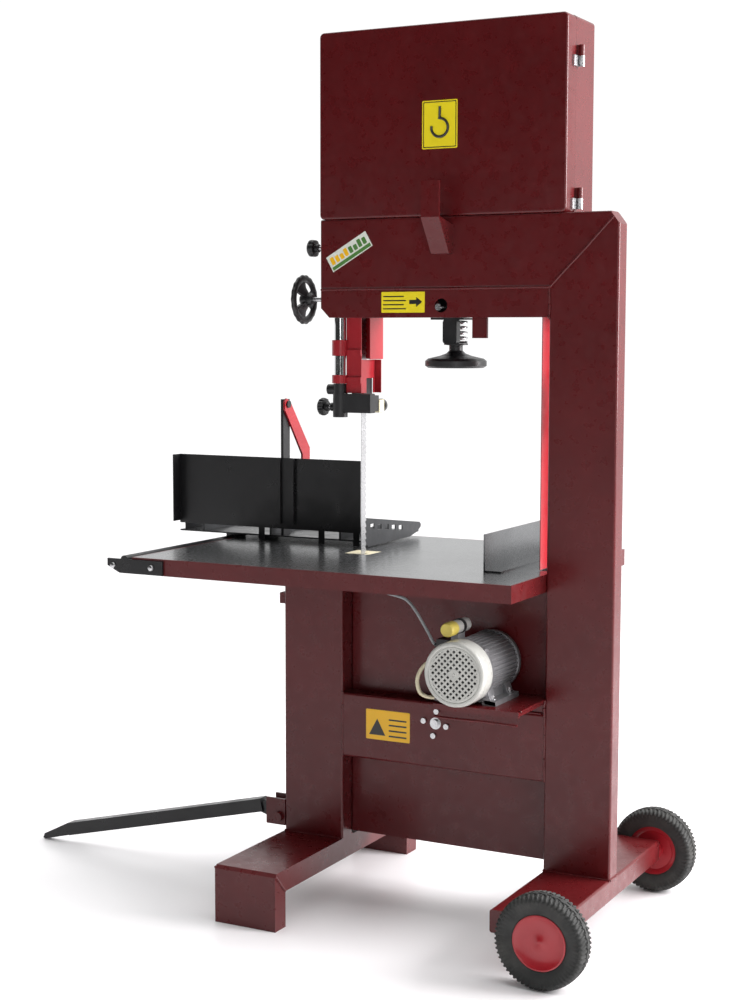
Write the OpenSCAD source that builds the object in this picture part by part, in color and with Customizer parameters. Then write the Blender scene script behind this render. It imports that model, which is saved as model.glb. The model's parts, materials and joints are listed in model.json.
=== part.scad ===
// Firewood band saw on a wheeled frame, with a log carriage on a slide rod.
// X runs along the frame, Y runs from the motor side to the door side, Z is up.
// Working datum: X 0 is the line of the band wheel axles, Y 0 the motor-side
// face of the frame tubes and Z 0 the ground. place() centres the footprint.

/* [Frame] */
// Width of the frame tube
tube_w = 172; // [160:1:180]
// Depth of the frame tube
tube_d = 54; // [50:1:56]
// Wall of the frame tube
tube_wall = 4; // [3:0.5:6]
// Edge radius of the frame tube
tube_r = 6; // [5:0.5:8]
// Right side of the column
column_x = 463; // [455:1:470]
// Left side of the post under the table
post_x = -436; // [-445:1:-430]
// Top of the arm
arm_top = 1725; // [1722:1:1728]
// Height of the arm tube
arm_h = 174; // [170:1:178]
// Height of the strip box under the arm
strip_h = 70; // [66:1:74]
// Underside of the two foot beams
beam_z = 89; // [86:1:92]
// Thickness of the foot beams
beam_h = 54; // [52:1:56]
// Bottom of the cross tube
cross_z = 362; // [355:1:370]
// Height of the cross tube
cross_h = 166; // [160:1:170]

/* [Band wheels] */
// Height of the lower axle
lower_z = 475; // [470:1:480]
// Height of the upper axle
upper_z = 1850; // [1845:1:1855]
// Outer radius of the band wheel tyres
band_r = 273.7; // [270:0.1:275]
// Near edge of the wheel rims
rim_y = 119; // [117:1:121]
// Width of the wheel rims
rim_w = 30; // [28:1:32]
// Radius of both wheel axles
axle_r = 15; // [12:1:16]

/* [Blade] */
// Thickness of the blade
blade_t = 1; // [0.8:0.1:1.2]
// Width of the blade
blade_w = 28; // [25:1:30]

/* [Housings] */
// Half width of the upper box and of both doors
box_half_w = 330; // [325:1:335]
// Top of the upper box
box_top = 2184; // [2170:1:2200]
// Far face of both doors
door_y = 172; // [168:1:176]
// Sheet thickness of the doors and shells
sheet = 2; // [1.5:0.5:2.5]
// Lower edge of the upper door
upper_door_z = 1486; // [1486:1:1492]
// Lower edge of the lower door
lower_door_z = 153; // [150:1:160]

/* [Table] */
// Top of the table
table_z = 869; // [865:1:873]
// Left edge of the table
table_x = -765; // [-770:1:-760]
// Near edge of the table
table_y = -211; // [-215:1:-205]
// Length of the table along the cut
table_len = 769; // [765:1:775]
// Height of the table skirt
skirt_h = 43; // [40:1:46]
// Place of the length stop
stop_x = 142.5; // [100:0.5:200]

/* [Motor] */
// Motor axis, across
motor_x = 137.5; // [130:0.5:145]
// Motor axis, up
motor_z = 644; // [640:1:650]
// Radius of the fan cover
fan_r = 78.5; // [75:0.5:80]
// Radius of the belt pulley on the lower wheel
big_pulley_r = 140; // [120:1:145]
// Radius of the belt pulley on the motor
small_pulley_r = 40; // [35:1:45]

/* [Blade guide] */
// Guide post axis, across
guide_x = -311; // [-312:1:-310]
// Guide post axis, depth
guide_y = 74; // [73:1:76]
// Radius of the guide post
guide_r = 15.5; // [14:0.5:15.5]
// Lowering travel of the blade guide
guide_travel = 270; // [200:5:270]
// Height of the pinion and its handwheel
pinion_z = 1528; // [1526:1:1530]
// Teeth of the pinion
pinion_teeth = 12; // [10:1:14]
// Pitch radius of the pinion
pinion_r = 14; // [13:0.5:14]

/* [Carriage] */
// Near face of the carriage panel
panel_y = 260; // [255:1:265]
// Left edge of the carriage panel
panel_x = -935; // [-940:1:-930]
// Slide rod axis, across
rod_x = -785; // [-786:1:-784]
// Slide rod axis, up
rod_z = 862; // [860:1:864]
// Radius of the slide rod
rod_r = 11; // [10:0.5:12]
// Height of the clamp pivot
pivot_z = 1248; // [1240:1:1255]
// Depth of the clamp pivot
pivot_y = 278; // [276:1:280]

/* [Running gear] */
// Wheel axle, across
wheel_x = 438; // [435:1:440]
// Radius of the transport wheels
wheel_r = 108; // [106:1:110]
// Width of the transport wheels
wheel_w = 62; // [58:1:65]
// Drawbar pivot, across
draw_x = -455; // [-456:1:-454]
// Drawbar pivot, up
draw_z = 177; // [175:1:179]
// Slope of the drawbar in degrees
draw_slope = 13.57; // [13.5:0.01:13.6]
// Section of the drawbar
draw_s = 35; // [30:1:38]

/* [Hidden] */
$fn = 48;
running = 0.05;            // radial clearance of pins and shafts that turn or slide
apart = 0.3;               // gap between pieces that move past each other

col_l = column_x - 171.5;                  // left side of the column
post_r = post_x + tube_w;                  // right side of the post
beam_top = beam_z + beam_h;
arm_z = arm_top - arm_h;
strip_z = arm_z - strip_h;
arm_x = -326;                              // left end of the arm
corner_cut = 23;                           // corner bevel, across
corner_drop = 30;                          // corner bevel, down
mitre_k = arm_h / (column_x - col_l);      // slope of the mitre
bevel_k = corner_drop / corner_cut;
mitre_x = (arm_top + bevel_k * (column_x - corner_cut) - arm_z + mitre_k * col_l) / (mitre_k + bevel_k);
mitre_z = arm_z + mitre_k * (mitre_x - col_l);
wheel_mid = rim_y + rim_w / 2;
blade_y = wheel_mid - blade_w / 2;
blade_in = band_r + apart;                 // inner radius of the blade loop
blade_x = -blade_in - blade_t / 2;
table_under = table_z - skirt_h;
table_far = table_y + table_len;
belt_y = 72;                               // near edge of the belt
belt_w = 26;
draw_off = [-60, 20];                      // drawbar end from its pivot, across and up
draw_len = 660;                            // length of the drawbar's square part
tip_len = 100;
front_wheel_y = -390;                      // outer face of the near wheel
rear_wheel_y = 380;
rod_end = 575;
tip_drop = 15;                             // the drawbar tip's lowest corner below its own axis
tip_x = draw_x + draw_off[0] - (draw_len + tip_len) * cos(draw_slope) + tip_drop * sin(draw_slope);
mid_x = (tip_x + wheel_x + wheel_r) / 2;
mid_y = (front_wheel_y + rod_end) / 2;

red = [0.42, 0.10, 0.13];
bright_red = [0.62, 0.13, 0.15];
black = [0.07, 0.07, 0.08];
steel = [0.70, 0.71, 0.72];
grey = [0.45, 0.47, 0.49];
cream = [0.86, 0.82, 0.70];

// ---- helpers ----
module place() translate([-mid_x, -mid_y, 0]) children();

module block(low, high) translate(low) cube(high - low);

module rod_in_x(y, z, r, x0, x1) translate([x0, y, z]) rotate([0, 90, 0]) cylinder(h = x1 - x0, r = r);
module rod_in_y(x, z, r, y0, y1) translate([x, y0, z]) rotate([-90, 0, 0]) cylinder(h = y1 - y0, r = r);
module rod_in_z(x, y, r, z0, z1) translate([x, y, z0]) cylinder(h = z1 - z0, r = r);

// Rounded rectangle from one corner to the other
module soft_rect(low, high, r) {
    translate([low[0] + r, low[1]]) square([high[0] - low[0] - 2 * r, high[1] - low[1]]);
    translate([low[0], low[1] + r]) square([high[0] - low[0], high[1] - low[1] - 2 * r]);
    for (x = [low[0] + r, high[0] - r], y = [low[1] + r, high[1] - r]) translate([x, y]) circle(r);
}

// A flat outline in X and Z made as thick as y0 to y1
module slab_xz(y0, y1) translate([0, y1, 0]) rotate([90, 0, 0]) linear_extrude(y1 - y0) children();

// A flat outline in Y and Z made as thick as x0 to x1
module slab_yz(x0, x1) translate([x0, 0, 0]) rotate([90, 0, 90]) linear_extrude(x1 - x0) children();

// Square tubes with rounded edges along the three axes
module tube_along_z(low, high) translate([0, 0, low[2]]) linear_extrude(high[2] - low[2]) difference() {
    soft_rect([low[0], low[1]], [high[0], high[1]], tube_r);
    soft_rect([low[0] + tube_wall, low[1] + tube_wall], [high[0] - tube_wall, high[1] - tube_wall], 2);
}
module tube_along_x(low, high) slab_yz(low[0], high[0]) difference() {
    soft_rect([low[1], low[2]], [high[1], high[2]], tube_r);
    soft_rect([low[1] + tube_wall, low[2] + tube_wall], [high[1] - tube_wall, high[2] - tube_wall], 2);
}

// An open tray: one flat face at y0 or y1 and four walls, from low to high in X and Z
module tray(low, high, y0, y1, face_at_y1, r) {
    difference() {
        slab_xz(y0, y1) soft_rect(low, high, r);
        slab_xz(face_at_y1 ? y0 - 1 : y0 + sheet, face_at_y1 ? y1 - sheet : y1 + 1)
            soft_rect([low[0] + sheet, low[1] + sheet], [high[0] - sheet, high[1] - sheet], r - sheet);
    }
}

// ---- welded frame ----
module column() color(red) place() difference() {
    intersection() {
        translate([0, 0, beam_top]) linear_extrude(arm_top - beam_top)
            soft_rect([col_l, 0], [column_x, tube_d], tube_r);
        slab_xz(-1, tube_d + 1) polygon([[col_l, beam_top], [column_x, beam_top],
            [column_x, arm_top - corner_drop], [mitre_x, mitre_z], [col_l, arm_z]]);
    }
    slab_xz(tube_wall, tube_d - tube_wall) polygon([[col_l + tube_wall, beam_top - 1],
        [column_x - tube_wall, beam_top - 1], [column_x - tube_wall, arm_top - corner_drop - 2],
        [mitre_x - tube_wall, mitre_z - 2 * tube_wall], [col_l + tube_wall, arm_z - tube_wall]]);
}

module guide_bracket() difference() {
    union() {
        block([guide_x - 20, tube_d, 1600], [guide_x + 22, 94, 1700]);
        rod_in_x(guide_y, 1659, 12, guide_x - 34, guide_x - 20);
    }
    rod_in_z(guide_x, guide_y, guide_r + running, 1599, 1701);
    rod_in_x(guide_y, 1659, 6 + running, guide_x - 35, guide_x);
    block([guide_x - 5.3, tube_d - 1, 1599], [guide_x + 5.3, guide_y, 1701]);
}

module arm() color(red) place() {
    difference() {
        intersection() {
            slab_yz(arm_x, column_x) soft_rect([0, arm_z], [tube_d, arm_top], tube_r);
            slab_xz(-1, tube_d + 1) polygon([[arm_x, arm_z], [col_l, arm_z], [mitre_x, mitre_z],
                [column_x - corner_cut, arm_top], [arm_x, arm_top]]);
        }
        slab_xz(tube_wall, tube_d - tube_wall) polygon([[arm_x + tube_wall, arm_z + tube_wall],
            [col_l, arm_z + tube_wall], [mitre_x - 2 * tube_wall, mitre_z - tube_wall],
            [column_x - corner_cut - tube_wall, arm_top - tube_wall],
            [arm_x + tube_wall, arm_top - tube_wall]]);
    }
    guide_bracket();
    for (side = [-1, 1]) {
        rail = side * 45.3;
        block([rail - 11, tube_d, 1560], [rail + 11, 112, 1880]);
    }
}

module arm_box() color(red) place() {
    outline = [[arm_x, arm_z], [arm_x, arm_z - 46], [arm_x + 24, strip_z], [col_l, strip_z], [col_l, arm_z]];
    difference() {
        slab_xz(0, tube_d) polygon(outline);
        slab_xz(3, tube_d + 1) polygon([[arm_x + 3, arm_z + 1], [arm_x + 3, arm_z - 45],
            [arm_x + 26, strip_z + 3], [col_l + 1, strip_z + 3], [col_l + 1, arm_z + 1]]);
        rod_in_x(44, pinion_z, 6 + running, arm_x - 1, arm_x + 4);
        rod_in_y(screw_x + 7, screw_z + 4, 17, -1, 4);
    }
    difference() {
        block([-296, 3, strip_z + 3], [-291, tube_d, arm_z]);
        rod_in_x(44, pinion_z, 6 + running, -297, -290);
    }
    block([79, 30, strip_z - 50], [118, 38, strip_z]);
}

module left_post() color(red) place()
    tube_along_z([post_x, 0, beam_top], [post_r, tube_d, table_under]);

module cross_tube() color(red) place() difference() {
    tube_along_x([post_r, 0, cross_z], [col_l, tube_d, cross_z + cross_h]);
    rod_in_y(0, lower_z, axle_r, -1, tube_d + 1);
}

module left_foot() color(red) place() {
    near = [-337, -288];
    far = [371, 430];
    difference() {
        slab_yz(post_x, post_r) polygon([[near[0] + 8, beam_top], [near[0], beam_top - 8], [near[0], 0],
            [near[1], 0], [near[1], beam_z], [far[0], beam_z], [far[0], 0], [far[1], 0],
            [far[1], beam_top - 8], [far[1] - 8, beam_top]]);
        block([post_x + tube_wall, near[0] + tube_wall, beam_z + tube_wall],
              [post_r - tube_wall, far[1] - tube_wall, beam_top - tube_wall]);
    }
}

module right_beam() color(red) place() difference() {
    translate([0, 373, 0]) rotate([90, 0, 0]) linear_extrude(373 + 318)
        soft_rect([col_l, beam_z], [column_x, beam_top], tube_r);
    block([col_l + tube_wall, -318 + tube_wall, beam_z + tube_wall],
          [column_x - tube_wall, 373 - tube_wall, beam_top - tube_wall]);
    rod_in_y(wheel_x, wheel_r, 10, -319, 374);
}

// ---- housings ----
module upper_shell() color(red) place() difference() {
    tray([-box_half_w, arm_top], [box_half_w, box_top], 0, tube_d - 0.5, false, 10);
    block([arm_x + 3, 3, arm_top - 1], [box_half_w - 12, tube_d, arm_top + sheet + 0.5]);
}

module lower_panel() color(red) place() difference() {
    block([post_r + 0.2, tube_d, lower_door_z], [col_l - 0.2, tube_d + 3, table_under]);
    rod_in_y(0, lower_z, 32, tube_d - 1, tube_d + 4);
    rod_in_y(motor_x, motor_z, 30, tube_d - 1, tube_d + 4);
}

// Door knuckle on a tab at one side of a door, with its pin hole
module knuckle(x, y, z, side) difference() {
    union() {
        rod_in_z(x, y, 7, z, z + 25);
        block([min(x, side * box_half_w), y - 4, z], [max(x, side * box_half_w), y + 4, z + 25]);
    }
    rod_in_z(x, y, 4 + running, z - 1, z + 26);
}

module upper_door() color(red) place() {
    difference() {
        tray([-box_half_w, upper_door_z], [box_half_w, box_top], tube_d, door_y, true, 10);
        block([-box_half_w - 1, tube_d - 1, upper_door_z - 1], [-box_half_w + 3, 96, arm_top]);
        block([-box_half_w - 1, tube_d - 1, upper_door_z - 1], [guide_x + 20, 96, upper_door_z + 16]);
        block([-box_half_w + 12, tube_d - 1, upper_door_z - 1], [-225, 160, upper_door_z + 3]);
        block([-226, tube_d - 1, upper_door_z - 1], [box_half_w - 12, 122, upper_door_z + 3]);
        block([230, 121, upper_door_z - 1], [300, 158, upper_door_z + 3]);
    }
    for (z = [1760, 2090]) knuckle(box_half_w + 11, 62, z, 1);
}

module lower_door() color(red) place() {
    difference() {
        tray([-box_half_w, lower_door_z], [box_half_w, table_under - 4], tube_d + 3.3, door_y, true, 10);
        block([-box_half_w + 12, tube_d, table_under - 7], [box_half_w - 12, 160, table_under]);
    }
    for (z = [230, 700]) knuckle(-box_half_w - 11, 66, z, -1);
}

module latch(x, z) {
    rod_in_y(x, z, 16, door_y + apart, door_y + 22);
    block([x - 5, door_y + 10, z - 34], [x + 5, door_y + 22, z + 34]);
}
module upper_latch() color(black) place() latch(-285, 1900);
module lower_latch() color(black) place() latch(285, 500);

// The half of a hinge that stays: a knuckle under the door's, with the pin standing up from it
module fixed_knuckle(x, y, z) {
    rod_in_z(x, y, 7, z - 25.3, z - apart);
    rod_in_z(x, y, 4, z - 1, z + 24);
}
module door_hinges() color(steel) place() {
    for (z = [1760, 2090]) {
        fixed_knuckle(box_half_w + 11, 62, z);
        block([box_half_w, 30, z - 25.3], [box_half_w + 5, 62, z - apart]);
    }
    for (z = [230, 700]) {
        fixed_knuckle(-box_half_w - 11, 66, z);
        block([-box_half_w - 17, tube_d, z - 25.3], [-box_half_w - 5, 66, z - apart]);
        block([-box_half_w - 51, tube_d, z - 25.3], [-box_half_w - 11, tube_d + 3, z - apart]);
    }
}

// ---- table ----
module table_frame() color(red) place() {
    inner_x = table_x + 4;
    inner_y = table_y + 4;
    difference() {
        block([table_x, table_y, table_under], [col_l - 0.2, table_far, table_z]);
        block([inner_x, inner_y, table_under - 1], [col_l - 4.2, table_far - 4, table_z + 1]);
        return_notch();
    }
    for (y = [-60, 230]) block([inner_x, y, table_under + 3], [col_l - 4.2, y + 5, table_z - 8]);
    block([-440, 0, table_under], [-260, 50, table_z - 8]);
    block([-600, -56, table_under + 3], [-595, 230, table_z - 8]);
}

module return_notch() block([250, tube_d + 2, table_under - 1], [col_l + 1, 170, table_z + 1]);

insert_low = [-326, 124];
insert_high = [-254, 196];
module insert_block(gap, z0, z1) block([insert_low[0] - gap, insert_low[1] - gap, z0],
    [insert_high[0] + gap, insert_high[1] + gap, z1]);
module table_top() color(grey) place() difference() {
    block([table_x + 4, table_y + 4, table_z - 8], [col_l - 4.2, table_far - 4, table_z]);
    insert_block(0.2, table_z - 9, table_z + 1);
    block([blade_x - 4, blade_y - 4, table_z - 9], [blade_x + 4, insert_low[1], table_z + 1]);
    return_notch();
}

module table_insert() color(cream) place() difference() {
    insert_block(0, table_z - 8, table_z);
    block([blade_x - 4, blade_y - 4, table_z - 9], [blade_x + 4, blade_y + blade_w + 4, table_z + 1]);
}

module length_stop() color(grey) place() {
    block([stop_x, -34, table_z], [stop_x + 4, 450, table_z + 92]);
    block([stop_x + 4, -34, table_z], [stop_x + 46, 450, table_z + 4]);
}

hook_x = [-9, 39];
module lift_hook() color(red) place() {
    slab_yz(hook_x[0], hook_x[1]) polygon([[0, 1634], [-20, 1634], [-78, 1718], [-78, 1804], [-72, 1804],
        [-72, 1720], [-17, 1640], [0, 1640]]);
    for (x = [hook_x[0], hook_x[1] - 4])
        slab_yz(x, x + 4) polygon([[0, 1640], [0, 1704], [-72, 1720], [-17, 1640]]);
}

// ---- motor ----
module motor_shelf() color(red) place() difference() {
    union() {
        block([70, -160, 554], [col_l - 0.2, tube_d - 0.2, 564]);
        block([70, -160, 550], [col_l - 0.2, -156, 554]);
        block([76, 6, cross_z + cross_h], [284, 48, 554]);
    }
    for (x = [-62.5, 62.5], y = [-105, -5]) rod_in_z(motor_x + x, y, 4.5, 540, 565);
}

module motor_body() color(grey) place() difference() {
    union() {
        rod_in_y(motor_x, motor_z, 70, -140, 50);
        for (x = [-62.5, 62.5]) block([motor_x + x - 17.5, -125, 564], [motor_x + x + 17.5, 15, 576]);
        block([motor_x - 54, -120, 570], [motor_x + 54, 10, 600]);
        block([64, -50, 655], [80, 0, 690]);
        block([98, -120, 700], [116, -80, 732]);
    }
    rod_in_y(motor_x, motor_z, 9.5 + running, -141, 51);
    rod_in_y(motor_x, motor_z, 40.5, -112, 22);
    rod_in_y(107, 744, 17.5, -170, -50);
    for (x = [-62.5, 62.5], y = [-105, -5]) rod_in_z(motor_x + x, y, 4.5, 560, 577);
}

module fan_cover() color(cream) place() difference() {
    rod_in_y(motor_x, motor_z, fan_r, -190, -140);
    rod_in_y(motor_x, motor_z, fan_r - 2, -187, -139);
    for (ring = [[20, 6], [38, 10], [56, 14]], k = [0 : ring[1] - 1]) {
        a = 360 * k / ring[1];
        rod_in_y(motor_x + ring[0] * cos(a), motor_z + ring[0] * sin(a), 7, -191, -186);
    }
}

module terminal_box() color(black) place() {
    block([30, -60, 640], [64, 10, 700]);
    rod_in_x(-30, 680, 7, 22, 30);
}

module capacitor() color(steel) place() rod_in_y(107, 744, 17.5, -165, -55);

// Routes of the motor lead and of the short brake lead, as points
lead_route = [[22, -30, 680], [16, -30, 680], [9, -30, 684], [2, -30, 694], [-6, -30, 708], [-19, -30, 728],
              [-36, -30, 753], [-52, -30, 773], [-72, -30, 788], [-97, -30, 794],
              [-122, -30, 799], [-140, -30, 810], [-146, -30, 825]];
loop_route = [[30, -50, 648], [24, -50, 648], [14, -54, 644], [2, -58, 636], [-10, -60, 622],
              [-19, -60, 604], [-21, -60, 586], [-15, -58, 564], [-4, -50, 554], [8, -36, 549],
              [18, -20, 548], [24, -6, 548], [26, 6, 546], [27, 14, 540], [27, 17, 529.5]];

function unit(v) = v / norm(v);
function heading(p, i) = unit(p[min(i + 1, len(p) - 1)] - p[max(i - 1, 0)]);
function ring_points(p, i, r, n) = let (t = heading(p, i), a = unit(cross(t, [0.3, 1, 0.2])), b = cross(t, a))
    [for (k = [0 : n - 1]) p[i] + r * (a * cos(360 * k / n) + b * sin(360 * k / n))];

module swept_tube(p, r, n = 8) {
    rings = len(p);
    points = [for (i = [0 : rings - 1]) each ring_points(p, i, r, n)];
    sides = [for (i = [0 : rings - 2], k = [0 : n - 1])
        [i * n + k, i * n + (k + 1) % n, (i + 1) * n + (k + 1) % n, (i + 1) * n + k]];
    polyhedron(points, concat([[for (k = [n - 1 : -1 : 0]) k]], sides,
        [[for (k = [0 : n - 1]) (rings - 1) * n + k]]));
}

module cables() color(grey) place() {
    swept_tube(lead_route, 3.75);
    swept_tube(loop_route, 5);
}

module motor_rotor() color(steel) place() {
    rod_in_y(motor_x, motor_z, 9.5, -172, 104);
    rod_in_y(motor_x, motor_z, 39.5, -108, 18);
    rod_in_y(motor_x, motor_z, 62, -164, -150);
    rod_in_y(motor_x, motor_z, small_pulley_r, belt_y - 0.5, belt_y + belt_w + 0.5);
    for (y = [belt_y - 3, belt_y + belt_w + 0.5])
        rod_in_y(motor_x, motor_z, small_pulley_r + 5, y, y + 2.5);
}

module belt_outline(grow) hull() {
    translate([0, lower_z]) circle(big_pulley_r + grow, $fn = 96);
    translate([motor_x, motor_z]) circle(small_pulley_r + grow, $fn = 48);
}
module drive_belt() color(black) place() slab_xz(belt_y, belt_y + belt_w) difference() {
    belt_outline(6);
    belt_outline(apart + 0.3);
}

// ---- band wheels and blade ----
module wheel_disc(z, hub_y) difference() {
    union() {
        difference() {
            rod_in_y(0, z, band_r - 3.7, rim_y, rim_y + rim_w);
            rod_in_y(0, z, band_r - 20, rim_y - 1, rim_y + rim_w + 1);
        }
        difference() {
            rod_in_y(0, z, band_r - 19, wheel_mid - 4, wheel_mid + 4);
            for (k = [0 : 5]) rod_in_y(150 * cos(60 * k), z + 150 * sin(60 * k), 52, rim_y, rim_y + rim_w);
        }
        rod_in_y(0, z, 38, hub_y, rim_y + rim_w);
    }
    rod_in_y(0, z, axle_r + running, hub_y - 1, rim_y + rim_w + 1);
}
module wheel_tyre(z) difference() {
    rod_in_y(0, z, band_r, rim_y, rim_y + rim_w);
    rod_in_y(0, z, band_r - 3.7, rim_y - 1, rim_y + rim_w + 1);
}

module upper_wheel() color(grey) place() wheel_disc(upper_z, rim_y);
module upper_tyre() color(black) place() wheel_tyre(upper_z);
module lower_tyre() color(black) place() wheel_tyre(lower_z);
module lower_wheel() color(grey) place() {
    wheel_disc(lower_z, belt_y - 3);
    difference() {
        union() {
            rod_in_y(0, lower_z, big_pulley_r, belt_y - 0.5, belt_y + belt_w + 0.5);
            for (y = [belt_y - 3, belt_y + belt_w + 0.5])
                rod_in_y(0, lower_z, big_pulley_r + 5, y, y + 2.5);
        }
        rod_in_y(0, lower_z, 38, belt_y - 4, belt_y + belt_w + 4);
        for (k = [0 : 4]) rod_in_y(88 * cos(72 * k), lower_z + 88 * sin(72 * k), 30, belt_y - 4, belt_y + belt_w + 4);
    }
}

module lower_axle() color(steel) place() {
    rod_in_y(0, lower_z, axle_r, 0, rim_y + rim_w + 4);
    rod_in_y(0, lower_z, 10, -7, 0);
    rod_in_y(0, lower_z, 22, rim_y + rim_w + 0.6, rim_y + rim_w + 10);
    for (k = [0 : 3]) rod_in_y(31.5 * cos(90 * k - 8), lower_z + 31.5 * sin(90 * k - 8), 7, -6, 0);
}

module tension_slide() color(steel) place() difference() {
    union() {
        block([-34, 58, 1700], [34, 117, 1895]);
        rod_in_y(0, upper_z, axle_r, 60, rim_y + rim_w + 4);
        rod_in_y(0, upper_z, 22, rim_y + rim_w + 0.6, rim_y + rim_w + 10);
    }
    rod_in_z(0, 107, 8 + running, 1699, 1815);
}

module loop_outline(r) {
    for (z = [lower_z, upper_z]) translate([0, z]) circle(r);
    translate([-r, lower_z]) square([2 * r, upper_z - lower_z]);
}
module blade() color(steel) place() slab_xz(blade_y, blade_y + blade_w) difference() {
    loop_outline(blade_in + blade_t);
    loop_outline(blade_in);
}

screw_x = 2;                                   // tracking screw, across
screw_z = 1506;                                // tracking screw, up
spring_r = 30;
spring_z = 1418;                               // foot of the spring

module tension_handwheel() color(black) place() {
    translate([0, 107, 0]) rotate_extrude() polygon([[0, 1360], [40, 1357], [69, 1357], [77, 1362],
        [77, 1374], [70, 1380], [40, 1387], [24, 1393], [17, 1400], [17, 1413], [spring_r, 1414],
        [spring_r, spring_z - apart], [0, spring_z - apart]]);
    rod_in_z(0, 107, 8, spring_z - 1, 1790);
}

module tension_spring() color(steel) place() difference() {
    rod_in_z(0, 107, spring_r, spring_z, strip_z - 5);
    rod_in_z(0, 107, spring_r - 6, spring_z - 1, strip_z);
}

module tension_housing() color(black) place() {
    difference() {
        block([-45, tube_d, strip_z - 5], [45, 140, strip_z]);
        rod_in_z(0, 107, 8 + running, strip_z - 6, strip_z + 1);
    }
    slab_xz(tube_d, 75) soft_rect([-12, 1417], [26, strip_z - 4], 8);
    difference() {
        block([screw_x - 18, 38, strip_z + 3], [screw_x + 18, tube_d, 1535]);
        rod_in_y(screw_x, screw_z, 5 + running, 37, tube_d + 1);
    }
}

module tracking_screw() color(steel) place() {
    rod_in_y(screw_x, screw_z, 5, 0, 52);
    rod_in_y(screw_x, screw_z, 8, -3, 4);
}

// ---- blade guide ----
tooth = 2 * PI * pinion_r / pinion_teeth;      // rack pitch

module pinion() rotate([90, 0, 90]) linear_extrude(16) {
    circle(pinion_r - 2.8);
    for (k = [0 : pinion_teeth - 1]) rotate(360 * k / pinion_teeth)
        polygon([[9, -1.75], [13.2, -1.65], [pinion_r, -1.45], [pinion_r + 1.9, -0.6],
                 [pinion_r + 1.9, 0.6], [pinion_r, 1.45], [13.2, 1.65], [9, 1.75]]);
}

module guide_post() color(steel) place() {
    rack_low = pinion_z - 3.5 * tooth;
    rack_n = ceil((guide_travel + 8 * tooth) / tooth);
    pitch_y = 44 + pinion_r;
    difference() {
        union() {
            rod_in_z(guide_x, guide_y, guide_r, 1229, 1900);
            block([guide_x - 5, pitch_y - 2, rack_low], [guide_x + 5, guide_y, rack_low + rack_n * tooth]);
        }
        for (k = [0 : rack_n]) slab_yz(guide_x - 9, guide_x + 9)
            translate([pitch_y, rack_low + (k + 0.5) * tooth])
                polygon([[-3, -3.1], [2.7, -1.2], [2.7, 1.2], [-3, 3.1]]);
    }
}

module guide_handwheel() color(black) place() {
    translate([-395, 44, pinion_z]) rotate([0, 90, 0]) {
        rotate_extrude() translate([57, 0]) circle(7);
        translate([0, 0, -12]) cylinder(h = 32, r = 15);
        for (k = [0 : 2]) rotate([0, 90, 120 * k + 60]) translate([0, 0, 12]) cylinder(h = 42, r = 5);
    }
    rod_in_x(44, pinion_z, 6, -376, -289);
    translate([guide_x - 8, 44, pinion_z]) pinion();
}

module guide_lock() color(black) place() {
    rod_in_x(guide_y, 1659, 10, -390, -378);
    difference() {
        rod_in_x(guide_y, 1659, 23, -404, -386);
        for (k = [0 : 5]) rod_in_x(guide_y + 25 * cos(60 * k), 1659 + 25 * sin(60 * k), 6, -405, -385);
    }
    rod_in_x(guide_y, 1659, 6, -378, guide_x - guide_r - apart);
}

module sliding_guard() color(bright_red) place() {
    guard_x = -250;
    block([-293, guide_y, 1290], [guard_x, guide_y + 2, 1560]);
    difference() {
        block([guard_x - 2, guide_y + 2, 1290], [guard_x, 152, 1375]);
        block([guard_x - 3, 102, 1289], [guard_x + 1, 140, 1328]);
    }
    block([guard_x, 150, 1290], [guard_x + 17, 152, 1375]);
    for (z = [[1385, 1425], [1315, 1336]]) difference() {
        union() {
            rod_in_z(guide_x, guide_y, guide_r + 6, z[0], z[1]);
            block([guide_x + 10, guide_y - 8, z[0]], [-293, guide_y + 2, z[0] + 18]);
            block([-293, guide_y - 4, z[0]], [guard_x, guide_y, z[0] + 16]);
        }
        rod_in_z(guide_x, guide_y, guide_r, z[0] - 1, z[1] + 1);
    }
}

disc_y = 124;
disc_z = 1309;
knob_y = 90;                                   // axis of the guide knob
knob_z = 1253;
module guide_head() color(black) place() {
    difference() {
        union() {
            rod_in_z(guide_x, guide_y, 19, 1228, 1289.5);
            rod_in_z(guide_x, guide_y, 17.7, 1289, 1314);
            rod_in_x(guide_y, 1299, 13, guide_x - 34, guide_x);
            rod_in_x(knob_y, knob_z, 11, guide_x - 34, guide_x);
            block([-306, 62, 1240], [-218, 88, 1288]);
            block([-300, 88, 1240], [-285, 150, 1287]);
            block([-264, 87, 1240], [-252, 150, 1287]);
            block([-236, 87, 1244], [-224, 121, 1284]);
        }
        rod_in_z(guide_x, guide_y, guide_r, 1229, 1320);
        rod_in_x(knob_y, knob_z, 6 + running, guide_x - 35, -325);
    }
    block([-238, 120, 1240], [-222, 146, 1272]);
    rod_in_y(-236, 1257, 5, 146, 150);
    rod_in_y(-236, 1257, 17, 150, 160);
    rod_in_x(blade_y - apart - 17, 1262, 17, -285, -264);
    for (plate = [[-292, -286], [-263, -257]]) difference() {
        block([plate[0], 100, 1287], [plate[1], 146, 1330]);
        rod_in_x(disc_y, disc_z, 4, -300, -250);
    }
    rod_in_x(disc_y, disc_z, 4, -292, blade_x - 0.8);
    rod_in_x(disc_y, disc_z, 4, blade_x + 0.8, -257);
}

module guide_discs() color(steel) place() for (span = [[-284, blade_x - 0.9], [blade_x + 0.9, -265]]) difference() {
    rod_in_x(disc_y, disc_z, 18, span[0], span[1]);
    rod_in_x(disc_y, disc_z, 4 + running, span[0] - 1, span[1] + 1);
}

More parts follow.
